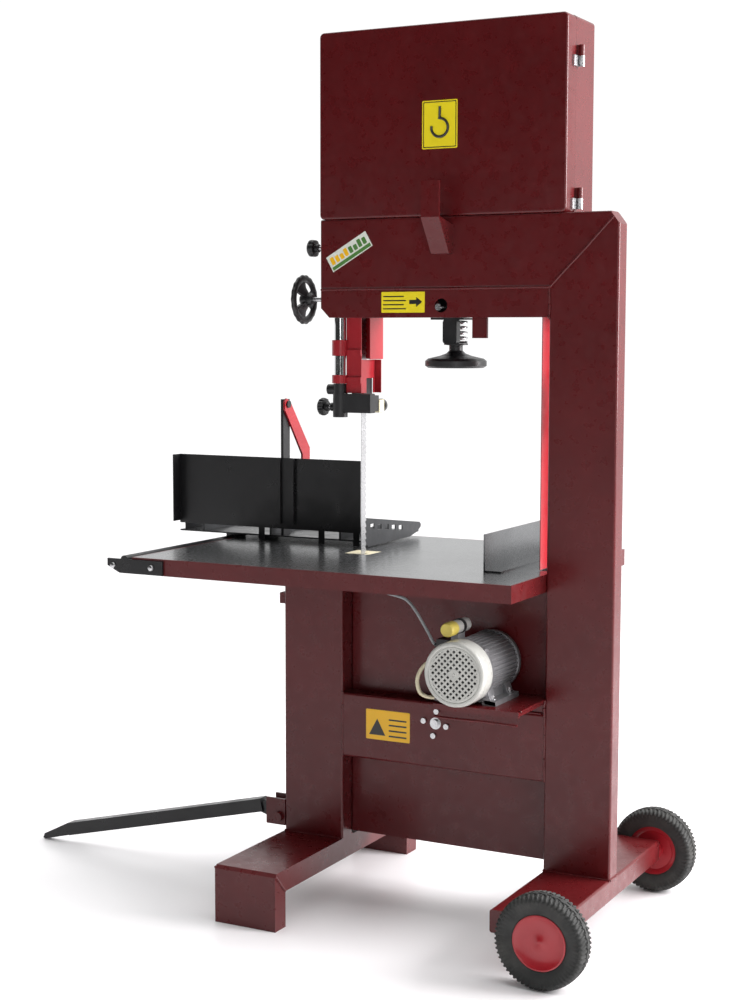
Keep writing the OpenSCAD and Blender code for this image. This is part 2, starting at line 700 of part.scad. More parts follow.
module guide_knob() color(black) place() {
    rod_in_x(knob_y, knob_z, 23, -379, -361);
    rod_in_x(knob_y, knob_z, 9, -361, guide_x - 34 - apart);
    rod_in_x(knob_y, knob_z, 6, -350, -326);
}

module blade_guard() color(bright_red) place() {
    block([-241, 101, 1376], [-239, 173, upper_door_z - 1.5]);
    block([-302, 171, 1376], [-239, 173, upper_door_z - 1.5]);
    block([-302, 101, 1376], [-300, 173, upper_door_z - 1.5]);
    block([-241, tube_d, strip_z], [-239, 101, upper_door_z - 1.5]);
    block([252, tube_d, table_z + 2], [254, 166, upper_door_z - 1]);
    block([254, 164, table_z + 2], [296, 166, upper_door_z - 1]);
}

// ---- carriage ----
module rod_bracket() color(black) place() {
    for (y = [table_y - 6, table_far]) difference() {
        slab_xz(y, y + 6) polygon([[-838, 863.5], [-838, 845], [-800, 827], [-667, 827], [-667, 863.5]]);
        rod_in_y(rod_x, rod_z, rod_r, y - 1, y + 7);
    }
}

module slide_rod() color(black) place() rod_in_y(rod_x, rod_z, rod_r, table_y - 6, rod_end);

bed_r = -325;
module carriage() color(black) place() {
    block([panel_x, panel_y, 905], [-352, panel_y + 3, 1101]);
    block([panel_x, panel_y - 35, 912], [panel_x + 3, panel_y, 1101]);
    difference() {
        block([-600, panel_y - 10, 920], [-555, panel_y, 1101]);
        block([-597, panel_y - 11, 919], [-558, panel_y - 3, 1102]);
    }
    block([panel_x, panel_y, 882], [bed_r, 560, 886]);
    for (x = [-664, -473, -365]) block([x - 9, panel_y, table_z + apart], [x + 9, panel_y + 3, 906]);
    for (y = [290, 474]) difference() {
        union() {
            rod_in_y(rod_x, rod_z, rod_r + 6, y, y + 60);
            block([rod_x - 14, y, 874], [rod_x + 14, y + 60, 882]);
        }
        rod_in_y(rod_x, rod_z, rod_r + running, y - 1, y + 61);
    }
}

module log_bed() color(black) place() {
    side = [[236, 951], [236, 884], [248, 872], [500, 874], [548, 884], [568, 896], [570, 902], [560, 910]];
    difference() {
        slab_yz(bed_r, bed_r + 3) polygon(side);
        for (k = [0 : 4]) slab_yz(bed_r - 1, bed_r + 4) translate([262 + 42 * k, 918 - 5 * k])
            square([22, 14]);
    }
    difference() {
        slab_yz(-920, -917) polygon(side);
        block([-921, 230, 860], [-916, 580, 886]);
        block([-921, 230, 860], [-916, 263, 960]);
    }
    for (x = [-860, -640, -420]) slab_yz(x, x + 6)
        polygon([[264, 886], [264, 945], [272, 945], [400, 896], [540, 908], [550, 908], [550, 886]]);
}

module clamp_post() color(steel) place() {
    block([-602, panel_y + 3, 886], [-594, panel_y + 38, pivot_z + 14]);
    rod_in_x(pivot_y, pivot_z, 6, -594, -584);
    rod_in_x(pivot_y, pivot_z, 10, -587 + apart, -583);
}

module clamp_arm() color(bright_red) place() difference() {
    union() {
        slab_yz(-593.7, -587.7) polygon([[pivot_y - 16, pivot_z + 6], [pivot_y - 6, pivot_z + 16],
            [pivot_y + 14, pivot_z + 6], [398, 1122], [398, 962], [378, 950], [358, 962], [358, 1106],
            [pivot_y - 16, pivot_z - 14]]);
        for (z = [975, 1005]) block([-596 + 2.3, 350, z], [-587.7, 358, z + 12]);
    }
    rod_in_x(pivot_y, pivot_z, 6 + running, -595, -585);
}

// ---- running gear ----
module transport_wheel(y0) difference() {
    union() {
        difference() {
            rod_in_y(wheel_x, wheel_r, wheel_r, y0, y0 + wheel_w);
            rod_in_y(wheel_x, wheel_r, 64, y0 - 1, y0 + wheel_w + 1);
        }
        rod_in_y(wheel_x, wheel_r, 63.9, y0 + 12, y0 + wheel_w - 12);
        rod_in_y(wheel_x, wheel_r, 20, y0 + 4, y0 + wheel_w);
    }
    rod_in_y(wheel_x, wheel_r, 10 + running, y0 - 1, y0 + wheel_w + 1);
}
module front_wheel() color(black) place() transport_wheel(front_wheel_y);
module rear_wheel() color(black) place() transport_wheel(rear_wheel_y);

module drawbar_bracket() color(red) place() {
    for (y = [0, tube_d - 6]) difference() {
        block([-493, y, 155], [post_x, y + 6, 225]);
        rod_in_y(draw_x, draw_z, 8, y - 1, y + 7);
    }
    rod_in_y(draw_x, draw_z, 8, -4, tube_d + 4);
    for (y = [-10, tube_d]) rod_in_y(draw_x, draw_z, 13, y, y + 10);
    block([post_x - 22, 14, 742], [post_x, 40, 770]);
}

module drawbar() color(black) place() translate([draw_x, tube_d / 2, draw_z]) difference() {
    union() {
        translate([draw_off[0], 0, draw_off[1]]) rotate([0, -draw_slope, 0]) {
            block([-draw_len, -draw_s / 2, -draw_s / 2], [0, draw_s / 2, draw_s / 2]);
            slab_xz(-11, 11) polygon([[-draw_len + 1, draw_s / 2], [-draw_len + 1, -draw_s / 2],
                [-draw_len - tip_len + 6, -19.1], [-draw_len - tip_len, -tip_drop],
                [-draw_len - tip_len + 8, -4]]);
        }
        slab_xz(-12, 12) polygon([[-70, 2], [-70, 18], [-52, 34], [0, 17], [0, -17], [-18, -14]]);
        rod_in_y(0, 0, 17, -12, 12);
    }
    rod_in_y(0, 0, 8 + running, -30, 30);
}

// ---- electrics and fasteners ----
module switch_box() color(black) place() difference() {
    union() {
        block([340, tube_d, 1220], [420, 108, 1350]);
        rod_in_z(380, 82, 14, 1204, 1220);
    }
    rod_in_y(380, 1315, 12.3, 90, 109);
    rod_in_y(380, 1262, 18.3, 90, 109);
    rod_in_z(380, 82, 9, 1203, 1214);
}
module start_button() color("green") place() rod_in_y(380, 1315, 12, 97, 113);
module stop_button() color("red") place() rod_in_y(380, 1262, 18, 97, 117);

module fasteners() color(steel) place() {
    for (x = [-62.5, 62.5], y = [-105, -5]) {
        rod_in_z(motor_x + x, y, 4.4, 548, 576);
        rod_in_z(motor_x + x, y, 8, 576, 584);
    }
    for (x = [-820, -701.5], y = [[table_y - 12, table_y - 6], [table_far + 6, table_far + 12]])
        rod_in_y(x, 845.5, 10, y[0], y[1]);
    rod_in_y(wheel_x, wheel_r, 10, front_wheel_y + 2, 438);
    rod_in_y(wheel_x, wheel_r, 14, front_wheel_y + wheel_w + 0.5, -318);
    rod_in_y(wheel_x, wheel_r, 14, 373, rear_wheel_y - 0.5);
}

column();
arm();
arm_box();
left_post();
cross_tube();
left_foot();
right_beam();
upper_shell();
lower_panel();
table_frame();
table_top();
table_insert();
length_stop();
lift_hook();
motor_shelf();
motor_body();
fan_cover();
terminal_box();
capacitor();
cables();
lower_axle();
drawbar_bracket();
rod_bracket();
slide_rod();
tension_housing();
tension_spring();
blade_guard();
door_hinges();
switch_box();
drive_belt();
blade();
fasteners();
upper_door();
lower_door();
upper_latch();
lower_latch();
tension_handwheel();
tension_slide();
upper_wheel();
upper_tyre();
lower_wheel();
lower_tyre();
motor_rotor();
tracking_screw();
guide_post();
sliding_guard();
guide_head();
guide_discs();
guide_knob();
guide_handwheel();
guide_lock();
carriage();
log_bed();
clamp_post();
clamp_arm();
front_wheel();
rear_wheel();
drawbar();
start_button();
stop_button();
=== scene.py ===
import json
import math

import bmesh
import bpy
import numpy as np
from mathutils import Euler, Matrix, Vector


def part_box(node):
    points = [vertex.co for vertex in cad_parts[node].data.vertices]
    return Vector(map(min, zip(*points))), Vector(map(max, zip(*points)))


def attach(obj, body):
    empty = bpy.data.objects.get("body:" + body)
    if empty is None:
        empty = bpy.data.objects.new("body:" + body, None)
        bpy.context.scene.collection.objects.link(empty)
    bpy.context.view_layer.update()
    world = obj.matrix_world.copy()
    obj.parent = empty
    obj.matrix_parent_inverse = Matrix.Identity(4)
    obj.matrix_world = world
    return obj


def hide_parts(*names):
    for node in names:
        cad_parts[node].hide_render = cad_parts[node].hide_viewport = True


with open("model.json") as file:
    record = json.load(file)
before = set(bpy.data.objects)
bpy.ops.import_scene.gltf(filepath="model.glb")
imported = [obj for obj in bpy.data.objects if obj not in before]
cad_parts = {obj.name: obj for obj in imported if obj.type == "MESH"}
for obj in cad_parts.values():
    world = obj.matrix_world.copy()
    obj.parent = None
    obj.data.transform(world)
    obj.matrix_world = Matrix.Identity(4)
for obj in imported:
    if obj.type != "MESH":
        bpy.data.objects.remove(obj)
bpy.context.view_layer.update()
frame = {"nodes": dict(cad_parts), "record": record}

bl_info = {
    "name": "Firewood band saw dressing",
    "version": (1, 0, 0),
    "blender": (4, 5, 0),
    "location": "View3D > Sidebar > Band saw",
    "description": "Finishes the packed band saw with detailed pieces and painted, turned and moulded surfaces",
    "category": "Object",
}

MM = 0.001
TAU = 2 * math.pi


def middle(node):
    """The middle of a CAD node's box, in metres."""
    low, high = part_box(node)
    return (np.array(low) + np.array(high)) / 2


# Working datum: the axle line, the motor-side face of the tubes, the ground.
DATUM = np.array([middle("lower_axle")[0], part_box("column")[0][1], 0.0])


def span(node):
    """A CAD node's box from the working datum, in millimetres."""
    low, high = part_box(node)
    return (np.array(low) - DATUM) / MM, (np.array(high) - DATUM) / MM


# ---------------------------------------------------------------- surfaces
class Surface:
    """Collects surfaces in millimetres from the working datum and makes one mesh of them."""

    def __init__(self):
        self.points = []
        self.quads = []
        self.loops = []
        self.count = 0

    def keep(self, points):
        self.points.append(np.asarray(points, float).reshape(-1, 3))
        start = self.count
        self.count += len(self.points[-1])
        return start

    def grid(self, points, wrap_u=False, wrap_v=False, caps=False):
        """A sheet of quads over points[u, v], closed along u or v where asked, with flat ends."""
        rows, cols = points.shape[:2]
        index = np.arange(rows * cols).reshape(rows, cols) + self.keep(points)
        ends = [index[0], index[-1]]
        if wrap_u:
            index = np.vstack([index, index[:1]])
        if wrap_v:
            index = np.hstack([index, index[:, :1]])
        corners = [index[:-1, :-1], index[1:, :-1], index[1:, 1:], index[:-1, 1:]]
        self.quads.append(np.stack(corners, axis=-1).reshape(-1, 4))
        if caps:
            self.loops += [ends[0][::-1].tolist(), ends[1].tolist()]

    def tube(self, path, radius, sides=12, closed=False, up=(0, 0, 1)):
        """A round section of the given radius carried along a path: path + r (cos a side + sin a over)."""
        path = np.asarray(path, float)
        if closed:
            along = np.roll(path, -1, axis=0) - np.roll(path, 1, axis=0)
        else:
            along = np.gradient(path, axis=0)
        along /= np.linalg.norm(along, axis=1, keepdims=True)
        side = np.cross(along, np.asarray(up, float))
        side /= np.linalg.norm(side, axis=1, keepdims=True)
        over = np.cross(side, along)
        a = np.linspace(0, TAU, sides, endpoint=False)
        ring = side[:, None] * np.cos(a)[None, :, None] + over[:, None] * np.sin(a)[None, :, None]
        size = np.broadcast_to(np.asarray(radius, float).reshape(-1, 1, 1), (len(path), 1, 1))
        self.grid(path[:, None] + ring * size, wrap_u=closed, wrap_v=True, caps=not closed)

    def turned(self, profile, centre, axis, sides=64, ripple=None, ring=False):
        """A profile of (radius, height) pairs turned about an axis: r (cos a, sin a) at height h.
        ripple(a, r, h) may change the radius. A ring's profile closes on itself."""
        r, h = np.asarray(profile, float).T
        a = np.linspace(0, TAU, sides, endpoint=False)
        rr = np.broadcast_to(r[:, None], (len(r), sides))
        if ripple is not None:
            rr = ripple(a[None, :], rr, h[:, None] * np.ones((1, sides)))
        flat = [rr * np.cos(a), rr * np.sin(a), np.broadcast_to(h[:, None], rr.shape)]
        order = {"x": (2, 0, 1), "y": (0, 2, 1), "z": (0, 1, 2)}[axis]
        points = np.stack([flat[k] for k in order], axis=-1) + np.asarray(centre, float)
        self.grid(points, wrap_u=ring, wrap_v=True, caps=not ring)

    def prism(self, outline, low, high, axis="y"):
        """A flat outline made as thick as low to high along an axis; the outline is in the other two."""
        outline = np.asarray(outline, float)
        level = np.ones(len(outline))
        order = {"x": (2, 0, 1), "y": (0, 2, 1), "z": (0, 1, 2)}[axis]
        rows = []
        for height in (low, high):
            flat = [outline[:, 0], outline[:, 1], level * height]
            rows.append(np.stack([flat[k] for k in order], axis=-1))
        self.grid(np.stack(rows), wrap_v=True, caps=True)

    def block(self, low, high):
        """A plain block between two corners, for small plates that get a bevel."""
        x0, y0, z0 = low
        x1, y1, z1 = high
        self.prism([(x0, z0), (x1, z0), (x1, z1), (x0, z1)], y0, y1, "y")

    def rod(self, start, end, radius, sides=32):
        """A round bar between two points."""
        start, end = np.asarray(start, float), np.asarray(end, float)
        up = (0, 0, 1) if abs(end - start)[2] < 0.9 * np.linalg.norm(end - start) else (1, 0, 0)
        self.tube(np.stack([start, end]), radius, sides, up=up)

    def hexagon(self, centre, axis, across, low, high, washer=0.0):
        """A bolt head: a six-sided prism across its flats on a round washer, from low to high."""
        a = np.linspace(0, TAU, 6, endpoint=False) + TAU / 12
        c = np.asarray(centre, float)
        flat = {"x": c[[1, 2]], "y": c[[0, 2]], "z": c[[0, 1]]}[axis]
        corner = across / math.sqrt(3)
        outline = np.stack([flat[0] + corner * np.cos(a), flat[1] + corner * np.sin(a)], axis=-1)
        thick = (high - low) * 0.25 if washer else 0.0
        base = low + thick
        self.prism(outline, base, high, axis)
        if washer:
            at = c.copy()
            at["xyz".index(axis)] = 0
            self.turned([(washer, low), (washer, low + thick)], at, axis, 32)

    def make(self, name, material, body, stands_for=(), bevel=0.0, angle=35.0, segments=2):
        """Makes the mesh, turns its faces outwards, shades it and lets it ride on a CAD body."""
        points = np.vstack(self.points) * MM + DATUM
        faces = [quad for quads in self.quads for quad in quads.tolist()] + self.loops
        mesh = bpy.data.meshes.new(name)
        mesh.from_pydata(points, [], faces)
        tidy = bmesh.new()
        tidy.from_mesh(mesh)
        bmesh.ops.remove_doubles(tidy, verts=tidy.verts, dist=1e-6)
        bmesh.ops.recalc_face_normals(tidy, faces=tidy.faces)
        tidy.to_mesh(mesh)
        tidy.free()
        mesh.shade_smooth()
        mesh.set_sharp_from_angle(angle=math.radians(angle))
        mesh.materials.append(material)
        piece = bpy.data.objects.new(name, mesh)
        bpy.context.scene.collection.objects.link(piece)
        if bevel:
            rounding = piece.modifiers.new("Rounding", "BEVEL")
            rounding.width = bevel * MM
            rounding.segments = segments
            rounding.limit_method = "ANGLE"
            rounding.angle_limit = math.radians(40)
            rounding.harden_normals = False
        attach(piece, body)
        if stands_for:
            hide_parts(*stands_for)
        return piece


def arc(centre, radius, start, end, count=8):
    """Points of an arc in a plane, with angles in degrees."""
    a = np.radians(np.linspace(start, end, count))
    return np.stack([centre[0] + radius * np.cos(a), centre[1] + radius * np.sin(a)], axis=-1)


def round_rect(low, high, r, count=6):
    """A rectangle with round corners, as one closed outline."""
    corners = [((high[0] - r, high[1] - r), 0), ((low[0] + r, high[1] - r), 90),
               ((low[0] + r, low[1] + r), 180), ((high[0] - r, low[1] + r), 270)]
    return np.vstack([arc(c, r, a, a + 90, count) for c, a in corners])


def smooth_path(points, per_span=8):
    """A Catmull-Rom curve through given points."""
    p = np.asarray(points, float)
    p = np.vstack([2 * p[0] - p[1], p, 2 * p[-1] - p[-2]])
    t = np.linspace(0, 1, per_span, endpoint=False)[:, None]
    spans = []
    for a, b, c, d in zip(p[:-3], p[1:-2], p[2:-1], p[3:]):
        spans.append(0.5 * (2 * b + (c - a) * t + (2 * a - 5 * b + 4 * c - d) * t ** 2
                            + (3 * b - a - 3 * c + d) * t ** 3))
    return np.vstack(spans + [p[-2][None]])


# ---------------------------------------------------------------- finishes
class Finish:
    """A material under construction: one Principled shader and the patterns that feed it."""

    def __init__(self, name, colour, roughness, metallic=0.0):
        self.material = bpy.data.materials.new(name)
        self.material.use_nodes = True
        self.tree = self.material.node_tree
        self.shader = self.tree.nodes["Principled BSDF"]
        self.shader.inputs["Base Color"].default_value = (*colour, 1)
        self.shader.inputs["Roughness"].default_value = roughness
        self.shader.inputs["Metallic"].default_value = metallic
        self.material.diffuse_color = (*colour, 1)
        self.colour = colour
        self.roughness = roughness
        self.tone = None
        self.height = None

    def node(self, kind, **values):
        made = self.tree.nodes.new(kind)
        for key, value in values.items():
            setattr(made, key, value)
        return made

    def link(self, a, b):
        self.tree.links.new(a, b)

    def noise(self, scale, detail=3.0, stretch=(1, 1, 1), rough=0.5):
        """Noise on Object coordinates, stretched along the axes; returns its grey value."""
        where = self.node("ShaderNodeTexCoord")
        mapping = self.node("ShaderNodeMapping")
        mapping.inputs["Scale"].default_value = stretch
        noise = self.node("ShaderNodeTexNoise")
        noise.inputs["Scale"].default_value = scale
        noise.inputs["Detail"].default_value = detail
        noise.inputs["Roughness"].default_value = rough
        self.link(where.outputs["Object"], mapping.inputs["Vector"])
        self.link(mapping.outputs["Vector"], noise.inputs["Vector"])
        return noise.outputs["Fac"]

    def ramp(self, value, low, high, out_low=0.0, out_high=1.0):
        """Stretches a grey value from low..high to out_low..out_high."""
        fit = self.node("ShaderNodeMapRange")
        for key, number in (("From Min", low), ("From Max", high), ("To Min", out_low), ("To Max", out_high)):
            fit.inputs[key].default_value = number
        self.link(value, fit.inputs["Value"])
        return fit.outputs["Result"]

    def tint(self, value, colour):
        """Mixes another colour over the surface where the grey value is high."""
        mix = self.node("ShaderNodeMix", data_type="RGBA")
        mix.inputs["B"].default_value = (*colour, 1)
        if self.tone is None:
            mix.inputs["A"].default_value = (*self.colour, 1)
        else:
            self.link(self.tone, mix.inputs["A"])
        self.link(value, mix.inputs["Factor"])
        self.tone = mix.outputs["Result"]
        self.link(self.tone, self.shader.inputs["Base Color"])
        return self

    def polish(self, value, low, high):
        """Lets roughness follow a grey value."""
        self.link(self.ramp(value, 0.3, 0.7, low, high), self.shader.inputs["Roughness"])
        return self

    def bump(self, value, distance, strength=1.0):
        """Adds relief of the given depth in metres over the relief so far."""
        relief = self.node("ShaderNodeBump")
        relief.inputs["Distance"].default_value = distance
        relief.inputs["Strength"].default_value = strength
        self.link(value, relief.inputs["Height"])
        if self.height is not None:
            self.link(self.height, relief.inputs["Normal"])
        self.height = relief.outputs["Normal"]
        self.link(self.height, self.shader.inputs["Normal"])
        return self


def textured_paint(name, colour, shade, light, roughness=0.30, coat=0.1):
    """Structured enamel: a fine leather-like grain, cloudy tone and a few dusty patches."""
    f = Finish(name, colour, roughness)
    f.tint(f.ramp(f.noise(5, 4), 0.35, 0.75, 0, 0.55), shade)
    f.tint(f.ramp(f.noise(22, 5, rough=0.65), 0.5, 0.85, 0, 0.35), light)
    f.polish(f.noise(40, 3), roughness - 0.06, roughness + 0.08)
    f.bump(f.noise(420, 2), 0.0006, 0.20)
    f.bump(f.noise(9, 2), 0.002, 0.08)
    f.shader.inputs["Specular IOR Level"].default_value = 0.38
    f.shader.inputs["Coat Weight"].default_value = coat
    f.shader.inputs["Coat Roughness"].default_value = 0.12
    return f.material


def black_enamel(name, roughness=0.38):
    """Black stove enamel with faint scuffs."""
    f = Finish(name, (0.007, 0.007, 0.008), roughness)
    f.tint(f.ramp(f.noise(30, 6, (1, 1, 4), 0.7), 0.58, 0.9, 0, 0.5), (0.03, 0.03, 0.032))
    f.polish(f.noise(18, 4), roughness - 0.06, roughness + 0.14)
    f.bump(f.noise(300, 2), 0.0004, 0.3)
    return f.material


def ground_steel(name, colour, roughness, stretch):
    """Steel ground in one direction, with fine scratches and darker oiled clouds."""
    f = Finish(name, colour, roughness, 1.0)
    dark = tuple(0.62 * c for c in colour)
    f.tint(f.ramp(f.noise(6, 5), 0.4, 0.8, 0, 0.6), dark)
    grain = f.noise(120, 3, stretch)
    f.polish(grain, roughness - 0.07, roughness + 0.12)
    f.bump(grain, 0.0003, 0.18)
    return f.material


def chromed_bar(name):
    """Hard chrome: nearly a mirror, with faint lengthwise wiping."""
    f = Finish(name, (0.74, 0.75, 0.76), 0.09, 1.0)
    f.polish(f.noise(50, 3, (1, 1, 0.15)), 0.07, 0.16)
    return f.material


def cast_metal(name, colour, roughness, metallic):
    """Sand-cast surface: pebbled relief and uneven tone."""
    f = Finish(name, colour, roughness, metallic)
    f.tint(f.ramp(f.noise(14, 5), 0.35, 0.8, 0, 0.6), tuple(0.55 * c for c in colour))
    f.polish(f.noise(60, 3), roughness - 0.1, roughness + 0.12)
    f.bump(f.noise(260, 3), 0.0008, 0.35)
    return f.material


def moulded_plastic(name, colour, roughness):
    """Moulded plastic with spark-eroded grain and a slightly paler dusty bloom."""
    f = Finish(name, colour, roughness)
    f.tint(f.ramp(f.noise(20, 4), 0.5, 0.9, 0, 0.35), tuple(min(1, c * 1.6 + 0.02) for c in colour))
    f.polish(f.noise(35, 3), roughness - 0.06, roughness + 0.1)
    f.bump(f.noise(600, 2), 0.0003, 0.3)
    return f.material


def rubber(name, colour):
    """Vulcanised rubber: matt, with ground-in dust in patches."""
    f = Finish(name, colour, 0.72)
    f.tint(f.ramp(f.noise(11, 6, rough=0.7), 0.45, 0.8, 0, 0.5), (0.10, 0.095, 0.085))
    f.polish(f.noise(25, 4), 0.6, 0.88)
    f.bump(f.noise(240, 4), 0.0006, 0.4)
    return f.material


def sticker(name, colour, roughness=0.3):
    """Printed film: even colour with a little yellowing and soft waves."""
    f = Finish(name, colour, roughness)
    f.tint(f.ramp(f.noise(25, 3), 0.4, 0.9, 0, 0.25), tuple(0.8 * c for c in colour))
    f.bump(f.noise(60, 2), 0.0004, 0.15)
    return f.material


FINISHES = {}


def make_finishes(colours):
    """Makes every finish once, from the colours in the panel."""
    paint = tuple(colours.frame_paint)
    FINISHES.update({
        "frame_paint": textured_paint("Maroon enamel", paint, tuple(0.55 * c for c in paint),
                                      tuple(min(1, 1.3 * c + 0.004) for c in paint)),
        "bright_paint": textured_paint("Red enamel", tuple(colours.guard_paint), (0.16, 0.006, 0.010),
                                       (0.46, 0.03, 0.04), 0.34, 0.4),
        "black_paint": black_enamel("Black enamel", 0.30),
        "table_steel": ground_steel("Ground table steel", (0.22, 0.225, 0.23), 0.24, (1, 14, 1)),
        "chrome": chromed_bar("Chromed bar"),
        "bright_steel": ground_steel("Turned steel", (0.60, 0.60, 0.61), 0.28, (1, 1, 12)),
        "cast_iron": cast_metal("Machined iron", (0.22, 0.23, 0.25), 0.45, 0.8),
        "motor_paint": cast_metal("Motor alloy", (0.25, 0.25, 0.26), 0.42, 0.4),
        "grille": textured_paint("Silver enamel", (0.56, 0.56, 0.52), (0.34, 0.35, 0.34), (0.8, 0.8, 0.76), 0.3, 0.5),
        "dark_steel": cast_metal("Blackened steel", (0.055, 0.057, 0.06), 0.4, 0.7),
        "can_shell": moulded_plastic("Grey can", (0.42, 0.42, 0.40), 0.35),
        "black_plastic": moulded_plastic("Black moulding", (0.009, 0.009, 0.010), 0.4),
        "insert_plastic": moulded_plastic("Ivory insert", (0.66, 0.60, 0.42), 0.45),
        "cable_sheath": moulded_plastic("Grey sheath", (0.30, 0.31, 0.32), 0.5),
        "belt_rubber": rubber("Belt rubber", (0.018, 0.018, 0.018)),
        "tyre_rubber": rubber("Tyre rubber", (0.020, 0.021, 0.020)),
        "green_plastic": moulded_plastic("Green moulding", (0.02, 0.30, 0.06), 0.3),
        "red_plastic": moulded_plastic("Red moulding", (0.55, 0.02, 0.015), 0.3),
        "yellow_film": sticker("Yellow film", (0.90, 0.74, 0.02)),
        "amber_film": sticker("Amber film", (0.90, 0.50, 0.01)),
        "white_film": sticker("White film", (0.75, 0.78, 0.70)),
        "green_film": sticker("Green film", (0.08, 0.22, 0.05)),
        "black_film": sticker("Black film", (0.02, 0.02, 0.02)),
        "yellow_cap": moulded_plastic("Yellow cap", (0.62, 0.50, 0.10), 0.4),
    })


def dress_nodes():
    """Gives every CAD node the finish of its slot in the record."""
    special = {"log_bed": "dark_steel", "guide_post": "chrome"}
    for part in frame["record"]["subparts"]:
        node = frame["nodes"][part["node"]]
        finish = FINISHES[special.get(part["node"], part["material_slot"])]
        if not node.material_slots:
            node.data.materials.append(finish)
        for material_slot in node.material_slots:
            material_slot.material = finish


# ---------------------------------------------------------------- pieces
def weld_path(start, end, wave, phase=0.0):
    """A seam from start to end with a slow sideways wander, as an array of points."""
    start, end = np.asarray(start, float), np.asarray(end, float)
    count = max(4, int(np.linalg.norm(end - start) / 1.6))
    t = np.linspace(0, 1, count)[:, None]
    run = (end - start) / np.linalg.norm(end - start)
    across = np.cross(run, (0, 1, 0) if abs(run[1]) < 0.9 else (1, 0, 0))
    return start + (end - start) * t + across * wave * np.sin(9 * t + phase)


def weld_beads(sizes):
    """Weld beads: a round section along each seam whose radius ripples as r (1 + k |sin(pi s / pitch)|)."""
    column, post = span("column"), span("left_post")
    box, cross = span("arm_box"), span("cross_tube")
    shelf = span("motor_shelf")
    left, right = column[0][0], column[1][0]
    depth = column[1][1]
    arm_z, arm_top = box[1][2], span("upper_shell")[0][2]
    beam_top = column[0][2]
    post_right = post[1][0]
    seams = []
    for y in (0.0, depth):
        seams.append([(left, y, arm_z), (right - 14, y, arm_top - 13)])
        seams.append([(left, y, beam_top), (right, y, beam_top)])
        seams.append([(post[0][0], y, beam_top), (post_right, y, beam_top)])
    seams += [
        [(box[0][0], 0, arm_z), (left, 0, arm_z)],
        [(left, 1, box[0][2] + 47), (left, 1, arm_z)],
        [(left, 4, box[0][2] + 47), (left, depth - 6, box[0][2] + 47)],
        [(right, 3, beam_top), (right, depth - 3, beam_top)],
        [(post_right, 1, cross[0][2]), (post_right, 1, cross[1][2])],
        [(left, 1, cross[0][2]), (left, 1, cross[1][2])],
        [(78, 4, cross[1][2]), (282, 4, cross[1][2])],
        [(left, -150, shelf[1][2]), (left, -2, shelf[1][2])],
        [(left, -1, shelf[0][2] - 30), (left, -1, shelf[1][2])],
        [(shelf[0][0] + 4, shelf[0][1], shelf[0][2] + 5), (left - 4, shelf[0][1], shelf[0][2] + 5)],
        [(post[0][0], -290, 90), (post[0][0], -335, 138)],
        [(post_right, -290, 90), (post_right, -335, 138)],
        [(post[0][0], -288, 89), (post_right, -288, 89)],
        [(-436, 12, 225), (-436, 12, 158)],
    ]
    beads = Surface()
    for number, (start, end) in enumerate(seams):
        path = weld_path(start, end, 0.5, number)
        s = np.arange(len(path)) * 1.6
        radius = sizes.weld_bead / MM * (0.86 + 0.2 * np.abs(np.sin(math.pi * s / 5.0)))
        beads.tube(path, radius, 10)
    beads.make("weld_beads", FINISHES["frame_paint"], "frame", angle=60)


def pressed_shell(surface, low, high, y_open, y_face, corner, fillet, wall):
    """A pressed tray: round-cornered outlines carried from the open edge, round a fillet, onto the flat face,
    and back inside. The fillet's inset is f (1 - cos a) at depth f (1 - sin a)."""
    out = math.copysign(1, y_face - y_open)
    a = np.radians(np.linspace(0, 90, 6))
    inset = fillet * (1 - np.cos(a))
    depth = fillet * (1 - np.sin(a))
    rows = [(0.0, y_open)] + [(i, y_face - out * d) for i, d in zip(inset, depth)]
    inner = [(wall, y_open)] + [(i + wall, y_face - out * (d + wall)) for i, d in zip(inset, depth)]
    loops = []
    for shrink, y in rows[::-1] + inner:
        r = max(corner - shrink, 1.0)
        outline = round_rect((low[0] + shrink, low[1] + shrink), (high[0] - shrink, high[1] - shrink), r)
        loops.append(np.stack([outline[:, 0], np.full(len(outline), y), outline[:, 1]], axis=-1))
    surface.grid(np.stack(loops), wrap_v=True, caps=True)


def upper_back_shell():
    """The motor-side half of the upper box, a pressed tray standing on the arm."""
    low, high = span("upper_shell")
    shell = Surface()
    pressed_shell(shell, (low[0], low[2] + 0.2), (high[0], high[2]), high[1], low[1], 12, 5, 2)
    shell.make("upper_box_back", FINISHES["frame_paint"], "frame", ["upper_shell"])


FAN_BLADES = 9
FAN_HUB, FAN_TIP = 16, 60       # radii of the cooling fan's blades


